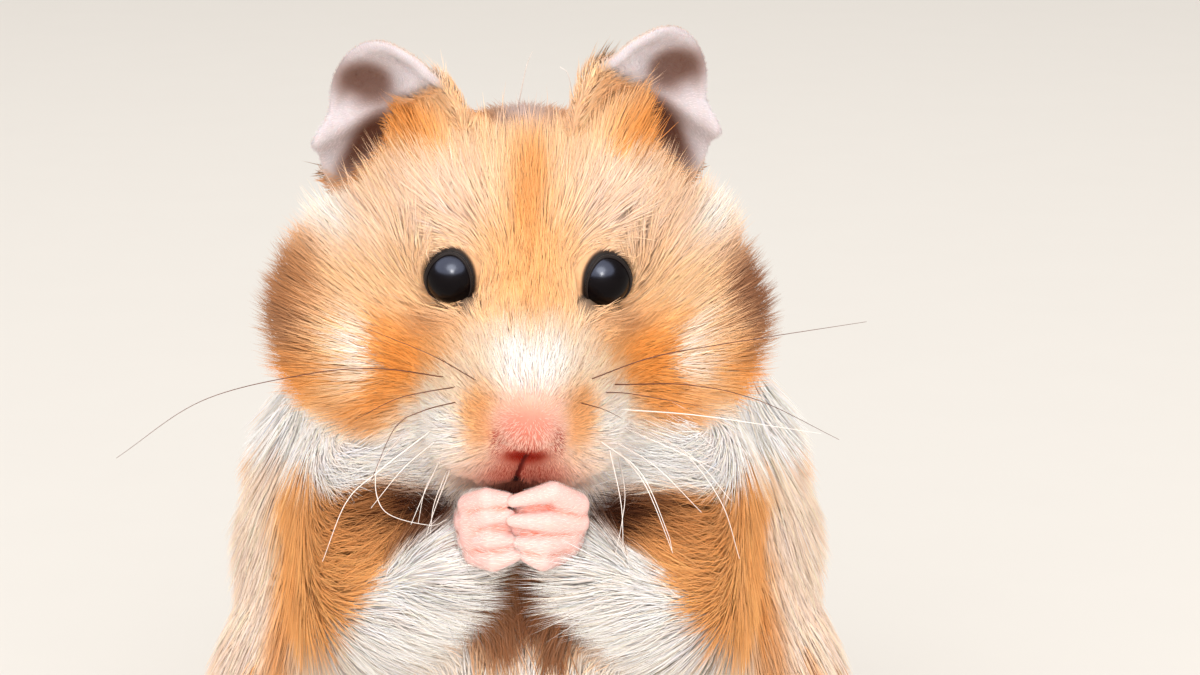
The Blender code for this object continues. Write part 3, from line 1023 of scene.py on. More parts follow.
def skin_colours(points, normals, hollows, parts, coat):
    """Screen colours of the skin: the coat's, a little darker as painted shade under the hair, then the bare
    places over them.
    """
    head = to_head(points)
    face = facial(parts)
    # the nose's underside gets its red skin darkened as painted shade
    bare = (("lip", LIPS), ("nose_pink", NOSE_PAD), ("nose_red", NOSE_UNDER))
    layers = [(shade, front_spot(points, *spot) * face) for shade, spot in bare]
    for side, sign in SIDES.items():
        mirrored = points * (sign, 1, 1) + (HEAD_ORIGIN[0] * (1 - sign), 0, 0)
        nostril = bump(head, NOSTRIL * (sign, 1, 1), NOSTRIL_SIZE * 1.1)
        over = ramp((points - EYE_CENTRES[side]) @ eye_frame(side)[2], 0, 2)
        lid = 1 - ramp(lid_place(points, side), 1.08 + 0.06 * over, 1.28 + 0.1 * over)
        of_side = share(parts, "ear") * (head[:, 0] * sign > 0)
        front = ear_front(normals, side)
        layers += [
            # painted shade in the creases beside the nose
            ("nose_red", front_spot(mirrored, *NOSE_CREASES) * face * 0.7),
            # the nostrils painted near black as shade
            ("mouth", ramp(nostril, 0.35, 0.9)),
            ("lid", lid * (distance(points, EYE_CENTRES[side]) < 1.6 * EYE_RADIUS)),
            ("ear_back", of_side),
            ("ear_rim", of_side * front),
            # painted shade in the ear's hollows
            ("ear_inside", of_side * front * ear_hollow(points, side)),
        ]
    groove = np.exp(-((groove_aside(head) / (GROOVE_HALF * 0.85)) ** 2)) * (head[:, 1] < -9)
    groove = groove * ramp(head[:, 2], -15.8, -14.8) * (1 - ramp(head[:, 2], -10.4, -9.4))
    layers += [
        # painted shade, near black: the groove under the nose, the mouth and the hollow under the lips
        ("mouth", groove * 0.8),
        ("mouth", ramp(bump(head, MOUTH, MOUTH_SIZE * 1.15), 0.15, 0.6)),
        ("mouth", front_spot(points, *UNDER_LIPS) * face * 0.9),
        ("paw", share(parts, "forepaw")),
        ("paw", share(parts, "hind_foot")),
        ("paw", share(parts, "tail")),
        # pink on the paws, most in the grooves: partly pink skin, mostly painted shade
        ("paw_pink", share(parts, "forepaw", "hind_foot") * (0.1 + 0.9 * ramp(hollows, -0.03, 0.08))),
    ]
    # the skin a little darker than the coat, as painted shade under the hair
    return painted(coat * 0.94, layers)


def ear_tufts(points, normals, parts):
    """Where long hair from the head grows over the inner half of each ear."""
    total = np.zeros(len(points))
    for side, sign in SIDES.items():
        across, rise = ear_place(points, side)
        before = 1 - ramp(across + 1.1 * np.maximum(rise - 0.1, 0), -0.15, 0.12)
        behind = (1 - ramp(rise, -0.5, -0.2)) * (1 - ramp(across, 0, 0.4))
        total += (behind + (before - behind) * ear_front(normals, side)) * (points[:, 0] * sign > 0)
    return total * share(parts, "ear")


def along_skin(vectors, normals):
    """Unit vectors without what they have of the normals."""
    return unit(vectors - normals * np.sum(vectors * normals, axis=1)[:, None])


def lie_of_coat(points, normals, edges, parts, grown):
    """The direction along the skin in which the hair lies; grown says where long hair covers an ear."""
    head = to_head(points)
    mirror = np.where(points[:, :1] > 0, 1, -1) * (1, 0, 0) + (0, 1, 1)
    outward = unit(points * (1, 1, 0) - (0, 8, 0))
    down = unit(np.array((0, 0.3, -1)) + 0.2 * outward)
    on_forearm = ramp((points * mirror - ELBOW) @ unit(ARM_WRIST - ELBOW), -6, 2)[:, None]
    ways = {
        "head": unit(head - NOSE_TIP) @ HEAD,
        "nose": unit(head - NOSE_WHORL) @ HEAD,
        "neck": down,
        "trunk": down,
        "tail": np.array((0, 1, -0.2)),
        "foreleg": (UPPER_ARM_LIE + on_forearm * (FOREARM_LIE - UPPER_ARM_LIE)) * mirror,
        "forepaw": np.array((-1, -0.4, 0.1)) * mirror,
        "thigh": unit(np.array((0, -0.2, -1)) + 0.1 * outward),
        "hind_foot": np.array((0.15, -1, 0)) * mirror,
    }
    lie = sum(way * share(parts, part)[:, None] for part, way in ways.items())
    for side, sign in SIDES.items():
        of_side = points[:, 0] * sign > 0
        centre = ear_placed(np.array(((0, -2, 0),)), side)
        tufts = np.array(EAR_TUFTS) @ EAR_TURNED.T * (sign, 1, 1) @ HEAD
        lie = lie + unit(points - centre) * (share(parts, "ear") * of_side)[:, None]
        lie = mixed(lie, tufts, grown * of_side * 1.3)
        eye = EYE_CENTRES[side]
        round_eye = unit(np.cross(eye_frame(side)[0], points - eye))
        agree = np.sign(np.sum(round_eye * lie, axis=1))[:, None]
        near = 1 - ramp(distance(points, eye), EYE_RADIUS * 1.2, EYE_RADIUS * 2)
        lie = mixed(lie, round_eye * agree * 0.8, near)
    lie = mixed(lie, spread(lie, edges, 80), share(parts, "neck", "trunk", "foreleg", "thigh"))
    for _ in range(3):
        lie = spread(along_skin(lie, normals), edges, 14)
    return along_skin(lie, normals)


def head_share(parts):
    return np.clip(share(parts, "head", "nose", "ear"), 0, 1)


# ---- the unwrap for baking

# Six flat charts round each region of the skin: large ones for trunk and head, and small ones for the rest.
LARGE_CHARTS = {"trunk": 0, "neck": 0, "tail": 0, "head": 1, "nose": 1}
LARGE_COUNT = 2
SMALL_CHARTS = ("ear", "foreleg", "forepaw", "thigh", "hind_foot")  # each on the left and on the right
CHART_COUNT = LARGE_COUNT + 2 * len(SMALL_CHARTS)
CHARTS_ACROSS = 4
CHART_MARGIN = 0.03


def chart_number(points, part):
    first = [LARGE_CHARTS.get(name, -1) for name in PARTS]
    for index, name in enumerate(SMALL_CHARTS):
        first[PART_INDEX[name]] = LARGE_COUNT + 2 * index
    number = np.array(first)[part]
    return number + ((number >= LARGE_COUNT) & (points[:, 0] < 0))


def chart_boxes(points, part):
    """The lowest and highest corner of each chart's region."""
    number = chart_number(points, part)
    regions = [points[number == chart] for chart in range(CHART_COUNT)]
    return np.array([(region.min(axis=0), region.max(axis=0)) for region in regions])


def unwrapped(points, facing, number, boxes):
    """The place of each point on the map, given the chart and the way that its surface faces."""
    axis = np.argmax(np.abs(facing), axis=1)
    flat = axis * 2 + (facing[np.arange(len(points)), axis] > 0)
    low, high = boxes[number, 0], boxes[number, 1]
    inside = np.clip((points - low) / (high - low), 0, 1) * (1 - 2 * CHART_MARGIN) + CHART_MARGIN
    pair = np.array(((1, 2), (0, 2), (0, 1)))[axis]
    large = number < LARGE_COUNT
    spot = np.where(large, number, number - LARGE_COUNT) * 6 + flat
    block = np.where(large, spot, LARGE_COUNT * 6 + spot // CHARTS_ACROSS**2)
    inner = np.where(large, 0, spot % CHARTS_ACROSS**2)
    big, small = 1 / CHARTS_ACROSS, 1 / CHARTS_ACROSS**2
    left = block % CHARTS_ACROSS * big + inner % CHARTS_ACROSS * small
    below = block // CHARTS_ACROSS * big + inner // CHARTS_ACROSS * small
    size = np.where(large, big, small)[:, None]
    return np.stack((left, below), axis=1) + np.take_along_axis(inside, pair, axis=1) * size


def set_marking(mesh, colours):
    attribute = mesh.color_attributes.new(MARKING, "FLOAT_COLOR", "POINT")
    light = np.concatenate((linear(np.clip(colours, 0, 255)), np.ones((len(colours), 1))), axis=1)
    attribute.data.foreach_set("color", light.astype(np.float32).ravel())
    mesh.color_attributes.active_color = attribute


def set_map(mesh, places):
    """The OFBake map, from one place for each corner of the mesh."""
    layer = mesh.uv_layers.new(name="OFBake")
    layer.data.foreach_set("uv", places.astype(np.float32).ravel())


def mesh_of(name, points, triangles):
    """An object from arrays of points in millimetres and of triangles."""
    mesh = bpy.data.meshes.new(name)
    mesh.vertices.add(len(points))
    mesh.loops.add(triangles.size)
    mesh.polygons.add(len(triangles))
    mesh.vertices.foreach_set("co", (points * MM).astype(np.float32).ravel())
    mesh.loops.foreach_set("vertex_index", triangles.astype(np.int32).ravel())
    mesh.polygons.foreach_set("loop_start", np.arange(0, triangles.size, 3, dtype=np.int32))
    mesh.update(calc_edges=True)
    return linked(name, mesh)


def dressed_skin():
    """The skin with its markings and map, and the fields that the coat grows by."""
    skin = joined_skin()
    mesh = skin.data
    mesh.shade_smooth()
    points, normals, edges = points_of(mesh), normals_of(mesh), edges_of(mesh)
    parts = spread(np.eye(len(PARTS))[nearest_part(points)], edges, 6)  # blended where parts meet
    coat = markings(points, normals, parts, head_share(parts))
    # how deep each point lies in a hollow, for the painted shade in the paws' grooves
    hollows = np.sum((spread(points, edges, 8) - points) * normals, axis=1)
    grown = ear_tufts(points, normals, parts)
    lie = lie_of_coat(points, normals, edges, parts, grown)
    # under the long hair on the ears the skin takes the coat's colour, darkened as painted shade
    bare = mixed(skin_colours(points, normals, hollows, parts, coat), coat * 0.9, grown * 1.5)
    parts[:, PART_INDEX["head"]] += grown
    parts[:, PART_INDEX["ear"]] -= grown
    set_marking(mesh, bare)
    part = np.argmax(parts, axis=1)
    boxes = chart_boxes(points, part)
    corners = read(mesh.loops, "vertex_index", 1, np.int32)[:, 0]
    sizes = read(mesh.polygons, "loop_total", 1, np.int32)[:, 0]
    facing = np.repeat(read(mesh.polygons, "normal", 3), sizes, axis=0)
    first = np.repeat(corners[np.cumsum(sizes) - sizes], sizes)
    set_map(mesh, unwrapped(points[corners], facing, chart_number(points[first], part[first]), boxes))
    mesh.materials.clear()
    mesh.materials.append(BARE_SKIN)
    fields = {"point": points, "normal": normals, "lie": lie, "parts": parts, "bare": bare, "on_ear": grown}
    return skin, fields, boxes


# ---- the coat

# For each part: tufts on a square millimetre, half a tuft's width, how far the tuft stands up at its root
# and at its tip in degrees, how many tufts share a lock, and how far a lock's tips draw together.
COAT = {
    "head": (27, 0.048, 27, 12, 7, 0.2),
    "nose": (14, 0.045, 30, 18, 3, 0.15),
    "neck": (14.5, 0.066, 24, 10, 12, 0.22),
    "trunk": (11.8, 0.074, 24, 10, 11, 0.2),
    "tail": (14, 0.04, 24, 12, 3, 0.1),
    "ear": (16, 0.03, 26, 12, 3, 0.1),
    "foreleg": (20, 0.048, 20, 9, 5, 0.1),
    "forepaw": (8, 0.024, 20, 8, 3, 0.1),
    "thigh": (10, 0.086, 26, 11, 13, 0.28),
    "hind_foot": (10, 0.035, 22, 8, 3, 0.1),
}
COAT_COLUMNS = np.array([COAT[part] for part in PARTS], float).T
TUFTS, HALF_WIDTH, ROOT_LIFT, TIP_LIFT, LOCK_SIZE, LOCK_PULL = COAT_COLUMNS
FACE_DENSITY = 1.9  # more and finer tufts at the muzzle
FACE_FINE = 0.62
NO_HAIR_BY_GROOVE = 0.36  # beside the line from the nose to the mouth, between these heights on the head
GROOVE_HEIGHTS = (-15.8, -9.6)
GROOVE_FRONT = -9
EAR_TUFTS_SHORT = 0.7
# Where the head's hair is short beside each ear: the place in the ear's frame, how far, and by how much.
SHORT_BY_EARS = (((3.0, -1.5, -7.0), 9, 0.7), ((3.0, 1.5, -8.5), 6, 0.6), ((-6.5, 1.0, 3.0), 8, 0.6))
BEND = 0.45  # the share of a tuft's length below its bend
SHORTEST = 0.4
LONGEST = 9
CLEAR_OF_EYE = 0.93  # no tuft crosses this share of an eye, as seen from the front
SINK = 0.12  # how far roots are set into the skin
FLOOR_GAP = 0.15  # the lowest that a tip may reach
PATCH = 0.003  # the width of a tuft on the map
SEED = 11
BROW_HEIGHT = -3.0  # where the brow's piece of the coat ends and the cheek's begins
COAT_PIECES = {
    "face": ("head", "nose"),
    "neck": ("neck",),
    "trunk": ("trunk", "tail"),
    "ear": ("ear",),
    "foreleg": ("foreleg", "forepaw"),
    "thigh": ("thigh", "hind_foot"),
}


def tufts_wanted(points, parts, muzzle):
    """How many tufts grow on a square millimetre at each point of the skin."""
    head = to_head(points)
    density = parts @ TUFTS * (1 + (FACE_DENSITY - 1) * muzzle)
    for side, eye in EYE_CENTRES.items():
        near_eye = distance(points, eye) < 1.7 * EYE_RADIUS
        density = np.where(near_eye & (lid_place(points, side) < 1.14), 0, density)
    density = density * (bump(head, MOUTH, MOUTH_SIZE * 1.1) < 0.3)  # none inside the mouth
    low, high = GROOVE_HEIGHTS
    on_groove = (head[:, 1] < GROOVE_FRONT) & (head[:, 2] > low) & (head[:, 2] < high)
    on_groove &= np.abs(groove_aside(head)) < NO_HAIR_BY_GROOVE
    density = density * ~on_groove * (1 - 0.85 * front_spot(points, *NOSE_BRIDGE))
    return density


def rooted(skin, fields):
    """Even random places on the skin, with every field read there."""
    rng = np.random.default_rng(SEED)
    triangles = triangles_of(skin.data)
    muzzle = 1 - ramp(distance(to_head(fields["point"]), NOSE_TIP), 6, 24)
    density = tufts_wanted(fields["point"], fields["parts"], muzzle)
    first, second, third = fields["point"][triangles].transpose(1, 0, 2)
    area = np.linalg.norm(np.cross(second - first, third - first), axis=1) / 2
    ends = np.cumsum(area * density[triangles].mean(axis=1))
    owner = np.searchsorted(ends, np.arange(int(ends[-1])) + 0.5)
    u, v = rng.random((2, len(owner)))
    over = u + v > 1
    u[over], v[over] = 1 - u[over], 1 - v[over]
    weights = np.stack((1 - u - v, u, v), axis=1)
    roots = {
        name: np.einsum("nk,nk...->n...", weights, values[triangles[owner]])
        for name, values in {**fields, "muzzle": muzzle}.items()
    }
    roots["normal"] = unit(roots["normal"])
    roots["lie"] = along_skin(roots["lie"], roots["normal"])
    return roots, rng


def reach_of_coat(roots):
    """How high the coat stands over each root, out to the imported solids."""
    points, parts = roots["point"], roots["parts"]
    wanted = thinned(parts @ DEPTHS, points, 0.3, 2.8, 7)
    away = np.array([FLESH_TREE.find_nearest(point)[3] for point in points.tolist()])
    reach = np.clip(away, (0.85 - 0.25 * head_share(parts)) * wanted, 1.7 * wanted)
    reach = reach + (wanted - reach) * np.clip(share(parts, *FINE_PARTS), 0, 1)
    reach = reach * (1 - EAR_TUFTS_SHORT * np.clip(roots["on_ear"] * 1.3, 0, 1))
    for side in SIDES:
        for place, far, less in SHORT_BY_EARS:
            near = 1 - ramp(distance(points, ear_placed(np.array((place,)), side)), far / 3, far)
            reach = reach * (1 - less * near)
    reach = reach * (1 - 0.5 * front_spot(points, *LIPS))
    reach = reach * (1 - 0.75 * front_spot(points, *BETWEEN_ARMS))
    return np.maximum(reach, 0.08 + 0.22 * front_spot(points, *NOSE_TUFTS))


def lock_leaders(points, size, rng):
    """For each root, the number of the nearest root that leads a lock."""
    leaders = np.flatnonzero(rng.random(len(points)) < 1 / size)
    tree = KDTree(len(leaders))
    for index in leaders.tolist():
        tree.insert(points[index].tolist(), index)
    tree.balance()
    return np.array([tree.find(point)[1] for point in points.tolist()])


def turned(ahead, aside, angle):
    """Each direction turned by its angle from one way towards another."""
    return ahead * np.cos(angle)[:, None] + aside * np.sin(angle)[:, None]


def tuft_shapes(roots, rng):
    """Root, bend and tip of each tuft, its half width and the number of its lock's leader."""
    points, normal, parts = roots["point"], roots["normal"], roots["parts"]
    count = len(points)
    leader = lock_leaders(points, parts @ LOCK_SIZE, rng)
    swing = np.radians(rng.normal(0, 7, count) + rng.normal(0, 8, count)[leader])
    lie = turned(roots["lie"], np.cross(normal, roots["lie"]), swing)
    lift = rng.normal(1, 0.16, count) * rng.normal(1, 0.12, count)[leader]
    low, high = (np.radians(parts @ angles) * lift for angles in (ROOT_LIFT, TIP_LIFT))
    length = reach_of_coat(roots) / (BEND * np.sin(low) + (1 - BEND) * np.sin(high))
    length = np.clip(length * rng.uniform(0.72, 1.1, count), SHORTEST, LONGEST)[:, None]
    bend = points + turned(lie, normal, low) * (length * BEND)
    tip = bend + turned(lie, normal, high) * (length * (1 - BEND))
    pull = (parts @ LOCK_PULL)[:, None]
    tip = tip + (tip[leader] - tip) * pull * rng.uniform(0.5, 1.2, count)[:, None]
    bend = bend + (bend[leader] - bend) * pull * 0.35
    fine = 1 - (1 - FACE_FINE) * roots["muzzle"]
    width = parts @ HALF_WIDTH * fine * rng.uniform(0.75, 1.25, count)
    bend[:, 2] = np.maximum(bend[:, 2], FLOOR_GAP * 2)
    tip[:, 2] = np.maximum(tip[:, 2], FLOOR_GAP)
    return points - normal * SINK, bend, tip, width, leader


def crosses_an_eye(bend, tip):
    """Which tufts would hide part of an eye from the front."""
    crossing = np.zeros(len(tip), bool)
    for centre in EYE_CENTRES.values():
        for point in (bend, (bend + tip) / 2, tip):
            before = (point - centre) @ FRONT
            aside = distance(point - centre, before[:, None] * FRONT)
            in_front = (before > 0) & (before < 4 * EYE_RADIUS)
            crossing |= in_front & (aside < CLEAR_OF_EYE * EYE_RADIUS)
    return crossing


def tuft_colours(roots, shape, rng):
    """Screen colours at the root, bend and tip of each tuft, with painted shade at the roots and painted
    light at the tips.
    """
    tip, leader = shape[2], shape[-1]
    points, parts, count = roots["point"], roots["parts"], len(leader)
    tone = 1 + rng.normal(0, 0.03, count) + rng.normal(0, 0.03, count)[leader]
    warm = 1 + rng.normal(0, 0.02, count)[:, None] * (1, 0, -1.5)
    on_head = head_share(parts)
    coat = markings((points + tip) / 2, roots["normal"], parts, on_head) * tone[:, None] * warm
    seen = {name: front_spot(points, *spot) * facial(parts) for name, spot in NOSE_AND_LIPS.items()}
    layers = (
        ("white", share(parts, "forepaw")),
        ("white", share(parts, "hind_foot")),
        ("paw", share(parts, "tail")),
        ("lip_hair", seen["lips"] * 0.85),
        ("nose_hair", seen["nose"] * 0.85),
        # hair under the nose painted dark red as shade
        ("nose_red", seen["under_nose"]),
        # hair under the lips painted near black as shade
        ("mouth", seen["under_lips"] * 0.8),
    )
    # hair on the ears takes the ear skin's colour, with its painted shade in the hollows, a little lighter
    coat = mixed(painted(coat, layers), roots["bare"] * 1.12, share(parts, "ear"))
    # roots of coloured hair darker: painted shade deep in the coat
    root = coat * (0.93 + 0.07 * ramp(coat[:, 2:], 150, 220))
    bare = np.clip(seen["nose"] + seen["lips"] + share(parts, "forepaw"), 0, 1)
    behind = ramp(points[:, 1], 4, 16) * (coat[:, 2] < 170) * (1 - on_head)
    ticked = (rng.random(count) < 0.3 * behind)[:, None]
    # tips a little lighter as painted light on the outside of the coat; ticked tips are dark hair
    return mixed(root, roots["bare"], bare * 0.7), coat, coat * 1.05 * np.where(ticked, 0.42, 1)


def tuft_mesh(name, shape, colours, roots, boxes):
    """Closed five-pointed tufts: a root, a ring of three at the bend, and a tip."""
    root, bend, tip, width, _ = shape
    normal = roots["normal"]
    count = len(root)
    along = unit(tip - root)
    side = unit(np.cross(normal, along))
    rise = np.cross(along, side)
    on_ear = np.clip((roots["on_ear"] + share(roots["parts"], "ear")) * 1.5, 0, 1)
    own = ((1 - ramp(normal @ FRONT, 0, 0.4)) * on_ear)[:, None]  # shaded by the tuft's own form
    points, outward = np.empty((2, count, 5, 3))
    points[:, 0], points[:, 4] = root, tip
    outward[:, 0] = normal
    outward[:, 4] = unit(normal * (1 - own) + along * own)
    for corner in (1, 2, 3):
        angle = math.radians(120 * corner - 30)
        around = side * math.cos(angle) + rise * (0.7 * math.sin(angle))
        points[:, corner] = bend + around * width[:, None]
        outward[:, corner] = unit(normal * (1 - 0.9 * own) + unit(around) * (0.35 + 0.6 * own))
    pattern = np.array(((0, 2, 1), (0, 3, 2), (0, 1, 3), (4, 1, 2), (4, 2, 3), (4, 3, 1)))
    triangles = (np.arange(count)[:, None, None] * 5 + pattern).reshape(-1, 3)
    thing = mesh_of(name, points.reshape(-1, 3), triangles)
    mesh = thing.data
    set_marking(mesh, np.stack((colours[0], *[colours[1]] * 3, colours[2]), axis=1).reshape(-1, 3))
    number = chart_number(roots["point"], np.argmax(roots["parts"], axis=1))
    fan = np.array(((0, -1), (-0.9, 0), (0, 0.2), (0.9, 0), (0, 1))) * PATCH / 2
    place = unwrapped(roots["point"], normal, number, boxes)[:, None] + fan
    set_map(mesh, place.reshape(-1, 2)[triangles.ravel()])
    mesh.shade_smooth()
    mesh.normals_split_custom_set_from_vertices(outward.reshape(-1, 3).tolist())
    mesh.materials.append(HAIR)
    return thing


def coat_pieces(roots):
    """Names of the coat's pieces, and which tufts belong to each."""
    part = np.argmax(roots["parts"], axis=1)
    left = roots["point"][:, 0] > 0
    fore = roots["normal"] @ FRONT > 0
    above = (roots["point"] - HEAD_ORIGIN) @ RISE > BROW_HEIGHT
    cuts = {
        "face": {"brow": fore & above, "cheek": fore & ~above, "nape": ~fore},
        "trunk": {"chest": fore, "back": ~fore},
    }
    for region, members in COAT_PIECES.items():
        inside = np.isin(part, [PART_INDEX[member] for member in members])
        for side, of_side in (("left", left), ("right", ~left)):
            for name, chosen in cuts.get(region, {region: inside}).items():
                yield f"{side}_{name}_coat", inside & of_side & chosen


def add_coat(skin, fields, boxes):
    roots, rng = rooted(skin, fields)
    shape = tuft_shapes(roots, rng)
    colours = tuft_colours(roots, shape, rng)
    clear = ~crosses_an_eye(*shape[1:3])
    for name, chosen in coat_pieces(roots):
        chosen = chosen & clear
        own_shape, own_colours = ([rows[chosen] for rows in group] for group in (shape, colours))
        own_roots = {field: values[chosen] for field, values in roots.items()}
        piece = tuft_mesh(name, own_shape, own_colours, own_roots, boxes)
        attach(piece, "root")


# ---- eyes and lids

LID_STEPS = 96
LID_SIDES = 12
LID_THICK = 0.13
LID_LIFT = 0.02  # the middle of the rim over the eyeball


def add_eye(side):
    mesh = bmesh.new()
    ball(mesh, EYE_CENTRES[side], (EYE_RADIUS,) * 3, detail=5)
    eye = object_of(mesh, f"{side}_eyeball")
    eye.data.shade_smooth()
    eye.data.materials.append(EYEBALL)
    EYES.objects.link(eye)
    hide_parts(f"{side}_eye")
    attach(eye, "root")


def add_lid(side):
    """The dark rim of the lids, a closed ring that lies on the eyeball."""
    axis, across, rise = eye_frame(side)
    turn = np.arange(LID_STEPS) * 2 * math.pi / LID_STEPS
    edge = lid_edge(turn)[:, None]
    out = np.cos(turn)[:, None] * across + np.sin(turn)[:, None] * rise
    way = axis * np.cos(edge) + out * np.sin(edge)
    aside = np.cross(unit(np.roll(way, -1, axis=0) - np.roll(way, 1, axis=0)), way)
    thick = (LID_THICK * (1 + 0.35 * np.sin(turn) ** 2))[:, None]
    middle = EYE_CENTRES[side] + way * (EYE_RADIUS + LID_LIFT)
    angles = np.arange(LID_SIDES) * 2 * math.pi / LID_SIDES
    rim = [middle + (way * math.cos(angle) + aside * math.sin(angle)) * thick for angle in angles]
    faces = []
    for step in range(LID_STEPS):
        here, ahead = step * LID_SIDES, (step + 1) % LID_STEPS * LID_SIDES
        for part in range(LID_SIDES):
            beside = (part + 1) % LID_SIDES
            faces.append((here + part, here + beside, ahead + beside, ahead + part))
    lid = facing_out(new_object(f"{side}_eyelid", np.stack(rim, axis=1).reshape(-1, 3), faces))
    lid.data.shade_smooth()
    lid.data.materials.append(LID_RIM)
    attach(lid, "root")


# ---- whiskers and claws

# Whiskers as seen from the front: across from the middle of the head and up from the eyes, with how
# far each point stands out in front of the eyes. The first point is the root.
DARK_WHISKERS = (
    ((-6.6, -10.1, 8), (-9.2, -10.5, 9), (-12.0, -11.2, 9), (-15.5, -13.0, 7)),
    ((7.1, -10.6, 8), (9.6, -10.7, 9), (15.8, -11.8, 7)),
    ((-4.4, -9.6, 9), (-8.5, -7.2, 9), (-14.4, -4.8, 6)),
    ((-7.6, -9.2, 8), (-13.5, -8.4, 9), (-20.0, -8.9, 8), (-30.0, -11.4, 3), (-38.4, -16.8, -2)),
    ((-6.3, -11.4, 9), (-9.4, -12.2, 11), (-11.8, -13.7, 11), (-14.1, -18.7, 9)),
    ((5.7, -9.4, 9), (11.2, -7.4, 9), (17.6, -6.2, 6), (31.4, -4.1, -2)),
    ((8.0, -9.9, 8), (14.9, -9.9, 9), (21.3, -11.4, 6), (28.7, -15.0, 1)),
    ((4.8, -11.5, 10), (6.9, -12.0, 12), (8.6, -12.8, 12)),
)
PALE_WHISKERS = (
    ((-9.0, -14.2, 7), (-13.6, -17.8, 9), (-16.4, -20.5, 8), (-18.7, -26.0, 5)),
    ((-12.2, -15.0, 5), (-14.1, -17.8, 8), (-13.2, -21.4, 10), (-9.0, -22.6, 11), (-7.2, -22.0, 11)),
    ((-8.1, -16.8, 8), (-9.2, -19.5, 11), (-10.4, -22.4, 10)),
    ((-7.2, -17.8, 8), (-8.2, -20.8, 11), (-9.0, -23.3, 10)),
    ((8.5, -12.2, 8), (15.9, -12.7, 9), (26.9, -14.4, 3)),
    ((9.4, -14.1, 8), (14.0, -15.9, 10), (17.7, -20.6, 8), (19.5, -26.0, 4)),
    ((6.6, -15.0, 9), (10.3, -17.8, 12), (12.6, -22.9, 10), (13.1, -24.7, 9)),
    ((7.5, -15.9, 8), (8.5, -20.5, 11), (8.7, -24.7, 10)),
    ((9.0, -13.6, 8), (14.9, -16.4, 9), (18.6, -20.5, 6)),
    ((9.0, -14.0, 8), (11.8, -15.1, 9), (17.7, -17.8, 7)),
    ((8.3, -15.3, 8), (11.8, -17.4, 10), (15.8, -21.4, 8)),
    ((8.3, -16.1, 8), (10.3, -18.3, 11), (11.6, -20.9, 10), (13.2, -25.1, 8)),
    ((8.3, -16.6, 8), (8.9, -19.8, 11), (8.6, -22.5, 11), (8.0, -25.3, 10)),
    ((-8.5, -15.1, 8), (-10.3, -16.6, 10), (-11.6, -17.9, 10), (-14.1, -21.0, 8)),
    ((-8.3, -17.2, 8), (-9.4, -19.4, 11), (-9.9, -22.5, 10)),
    ((-7.5, -17.9, 8), (-8.4, -20.7, 11), (-8.6, -23.1, 11)),
    ((-1.2, 18.6, -14), (-0.4, 20.2, -12), (0.2, 21.6, -11)),
    ((4.6, 17.7, -14), (3.6, 19.4, -12), (2.8, 20.2, -12)),
)
WHISKER_SINK = 0.9  # how far each root is set into the muzzle
FAR_AHEAD = 60  # well in front of the face
CLAW_LENGTH = 1.5
FINGER_CLAW = 0.6  # of the length of a toe's
CLAW_HOOK = 0.35


def rounded_path(path, steps=24):
    """A smooth curve through a path's points."""
    path = np.asarray(path, float)
    knots = np.concatenate((2 * path[:1] - path[1:2], path, 2 * path[-1:] - path[-2:-1]))
    t = (np.arange(steps) / steps)[:, None]
    smooth = []
    for before, start, end, after in zip(knots, knots[1:], knots[2:], knots[3:]):
        bend = 2 * before - 5 * start + 4 * end - after
        twist = 3 * start - before - 3 * end + after
        smooth.append(0.5 * (2 * start + (end - before) * t + bend * t**2 + twist * t**3))
    return np.concatenate((*smooth, path[-1:]))


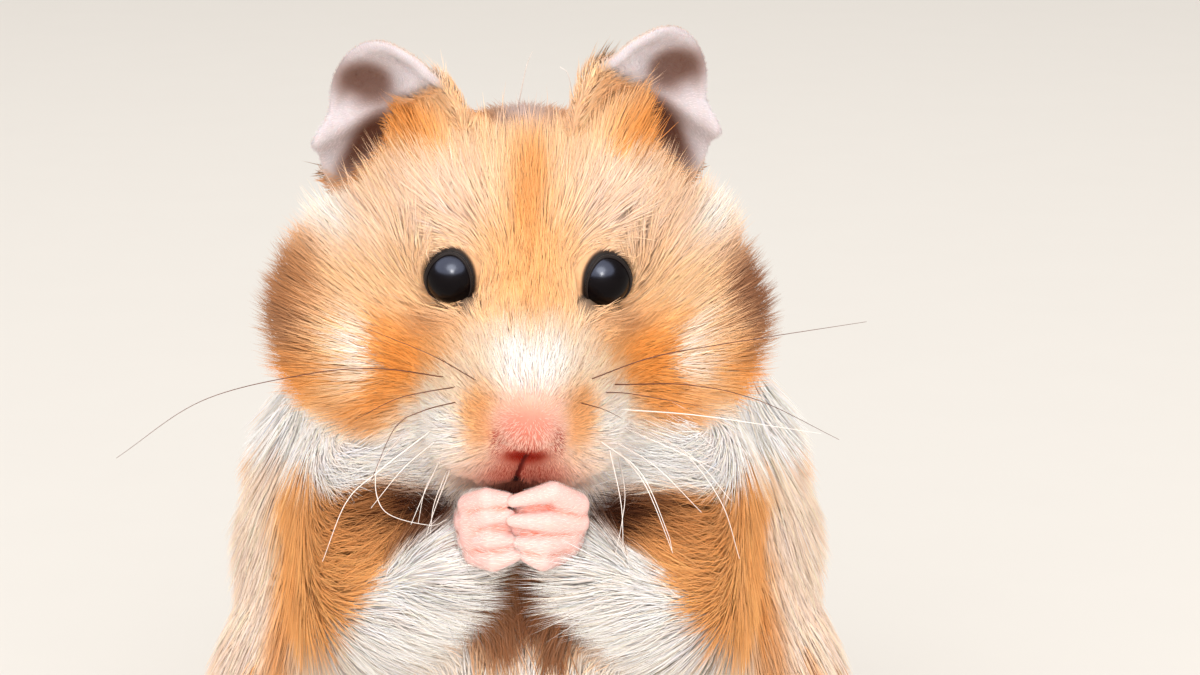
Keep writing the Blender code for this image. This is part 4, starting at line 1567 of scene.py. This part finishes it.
def strands(name, paths, sizes):
    """One piece of tapered strands along smooth paths, in millimetres."""
    curve = bpy.data.curves.new(name, "CURVE")
    curve.dimensions = "3D"
    for path in paths:
        spline = curve.splines.new("POLY")
        smooth = rounded_path(path)
        spline.points.add(len(smooth) - 1)
        for point, place in zip(spline.points, smooth):
            point.co = (*(place * MM), 1)
    holder = linked(name + "_paths", curve)
    sweep = holder.modifiers.new("sweep", "NODES")
    sweep.node_group = STRANDS
    for item in STRANDS.interface.items_tree:
        if item.in_out == "INPUT" and item.name in sizes:
            sweep[item.identifier] = sizes[item.name]
    mesh = final_mesh(holder)
    bpy.data.objects.remove(holder)
    mesh.shade_smooth()
    piece = linked(name, mesh)
    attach(piece, "root")


def whisker_paths(whiskers):
    """Each whisker in the part's frame, with its root set into the muzzle."""
    for whisker in whiskers:
        path = HEAD_ORIGIN + np.array(whisker) @ np.array(((1, 0, 0), RISE, FRONT))
        start = path[0] + FRONT * FAR_AHEAD
        hit = FLESH_TREE.ray_cast(start.tolist(), (-FRONT).tolist())[0]
        root = np.array(hit or FLESH_TREE.find_nearest(path[0].tolist())[0])
        path = path + FRONT * ((root - path[0]) @ FRONT) * np.linspace(1, 0.35, len(path))[:, None]
        path[0] = root - FRONT * WHISKER_SINK
        yield path


def add_whiskers():
    sizes = {"Root Radius": 0.065 * MM, "Tip Radius": 0.02 * MM, "Sides": 6, "Steps": 40}
    strands("dark_whiskers", whisker_paths(DARK_WHISKERS), {**sizes, "Finish": DARK_WHISKER})
    strands("pale_whiskers", whisker_paths(PALE_WHISKERS), {**sizes, "Finish": PALE_WHISKER})


def claw_path(before, tip, length):
    """A short hooked path out of the end of a finger or toe."""
    ahead = unit(tip - before)
    start = tip + ahead * 0.15
    middle = start + ahead * length * 0.55 + UP * 0.08
    return start, middle, start + ahead * length - UP * CLAW_HOOK


def add_claws():
    sizes = {"Root Radius": 0.3 * MM, "Tip Radius": 0.04 * MM, "Sides": 8, "Steps": 8, "Finish": CLAW}
    for side in SIDES:
        fingers = [claw_path(*joints[-2:], CLAW_LENGTH * FINGER_CLAW) for joints in finger_joints(side)]
        toes = [claw_path(*joints, CLAW_LENGTH) for joints in toe_joints(side)]
        strands(f"{side}_forepaw_claws", fingers, {**sizes, "Root Radius": 0.24 * MM})
        strands(f"{side}_hind_foot_claws", toes, sizes)


# ---- the model


def add_skin():
    skin, fields, boxes = dressed_skin()
    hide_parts(*FLESH)
    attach(skin, "root")
    return skin, fields, boxes


add_camera()
add_world()
add_floor()
add_lights()
bpy.context.scene.view_settings.view_transform = "Standard"

add_coat(*add_skin())
for side in SIDES:
    add_eye(side)
    add_lid(side)
add_whiskers()
add_claws()
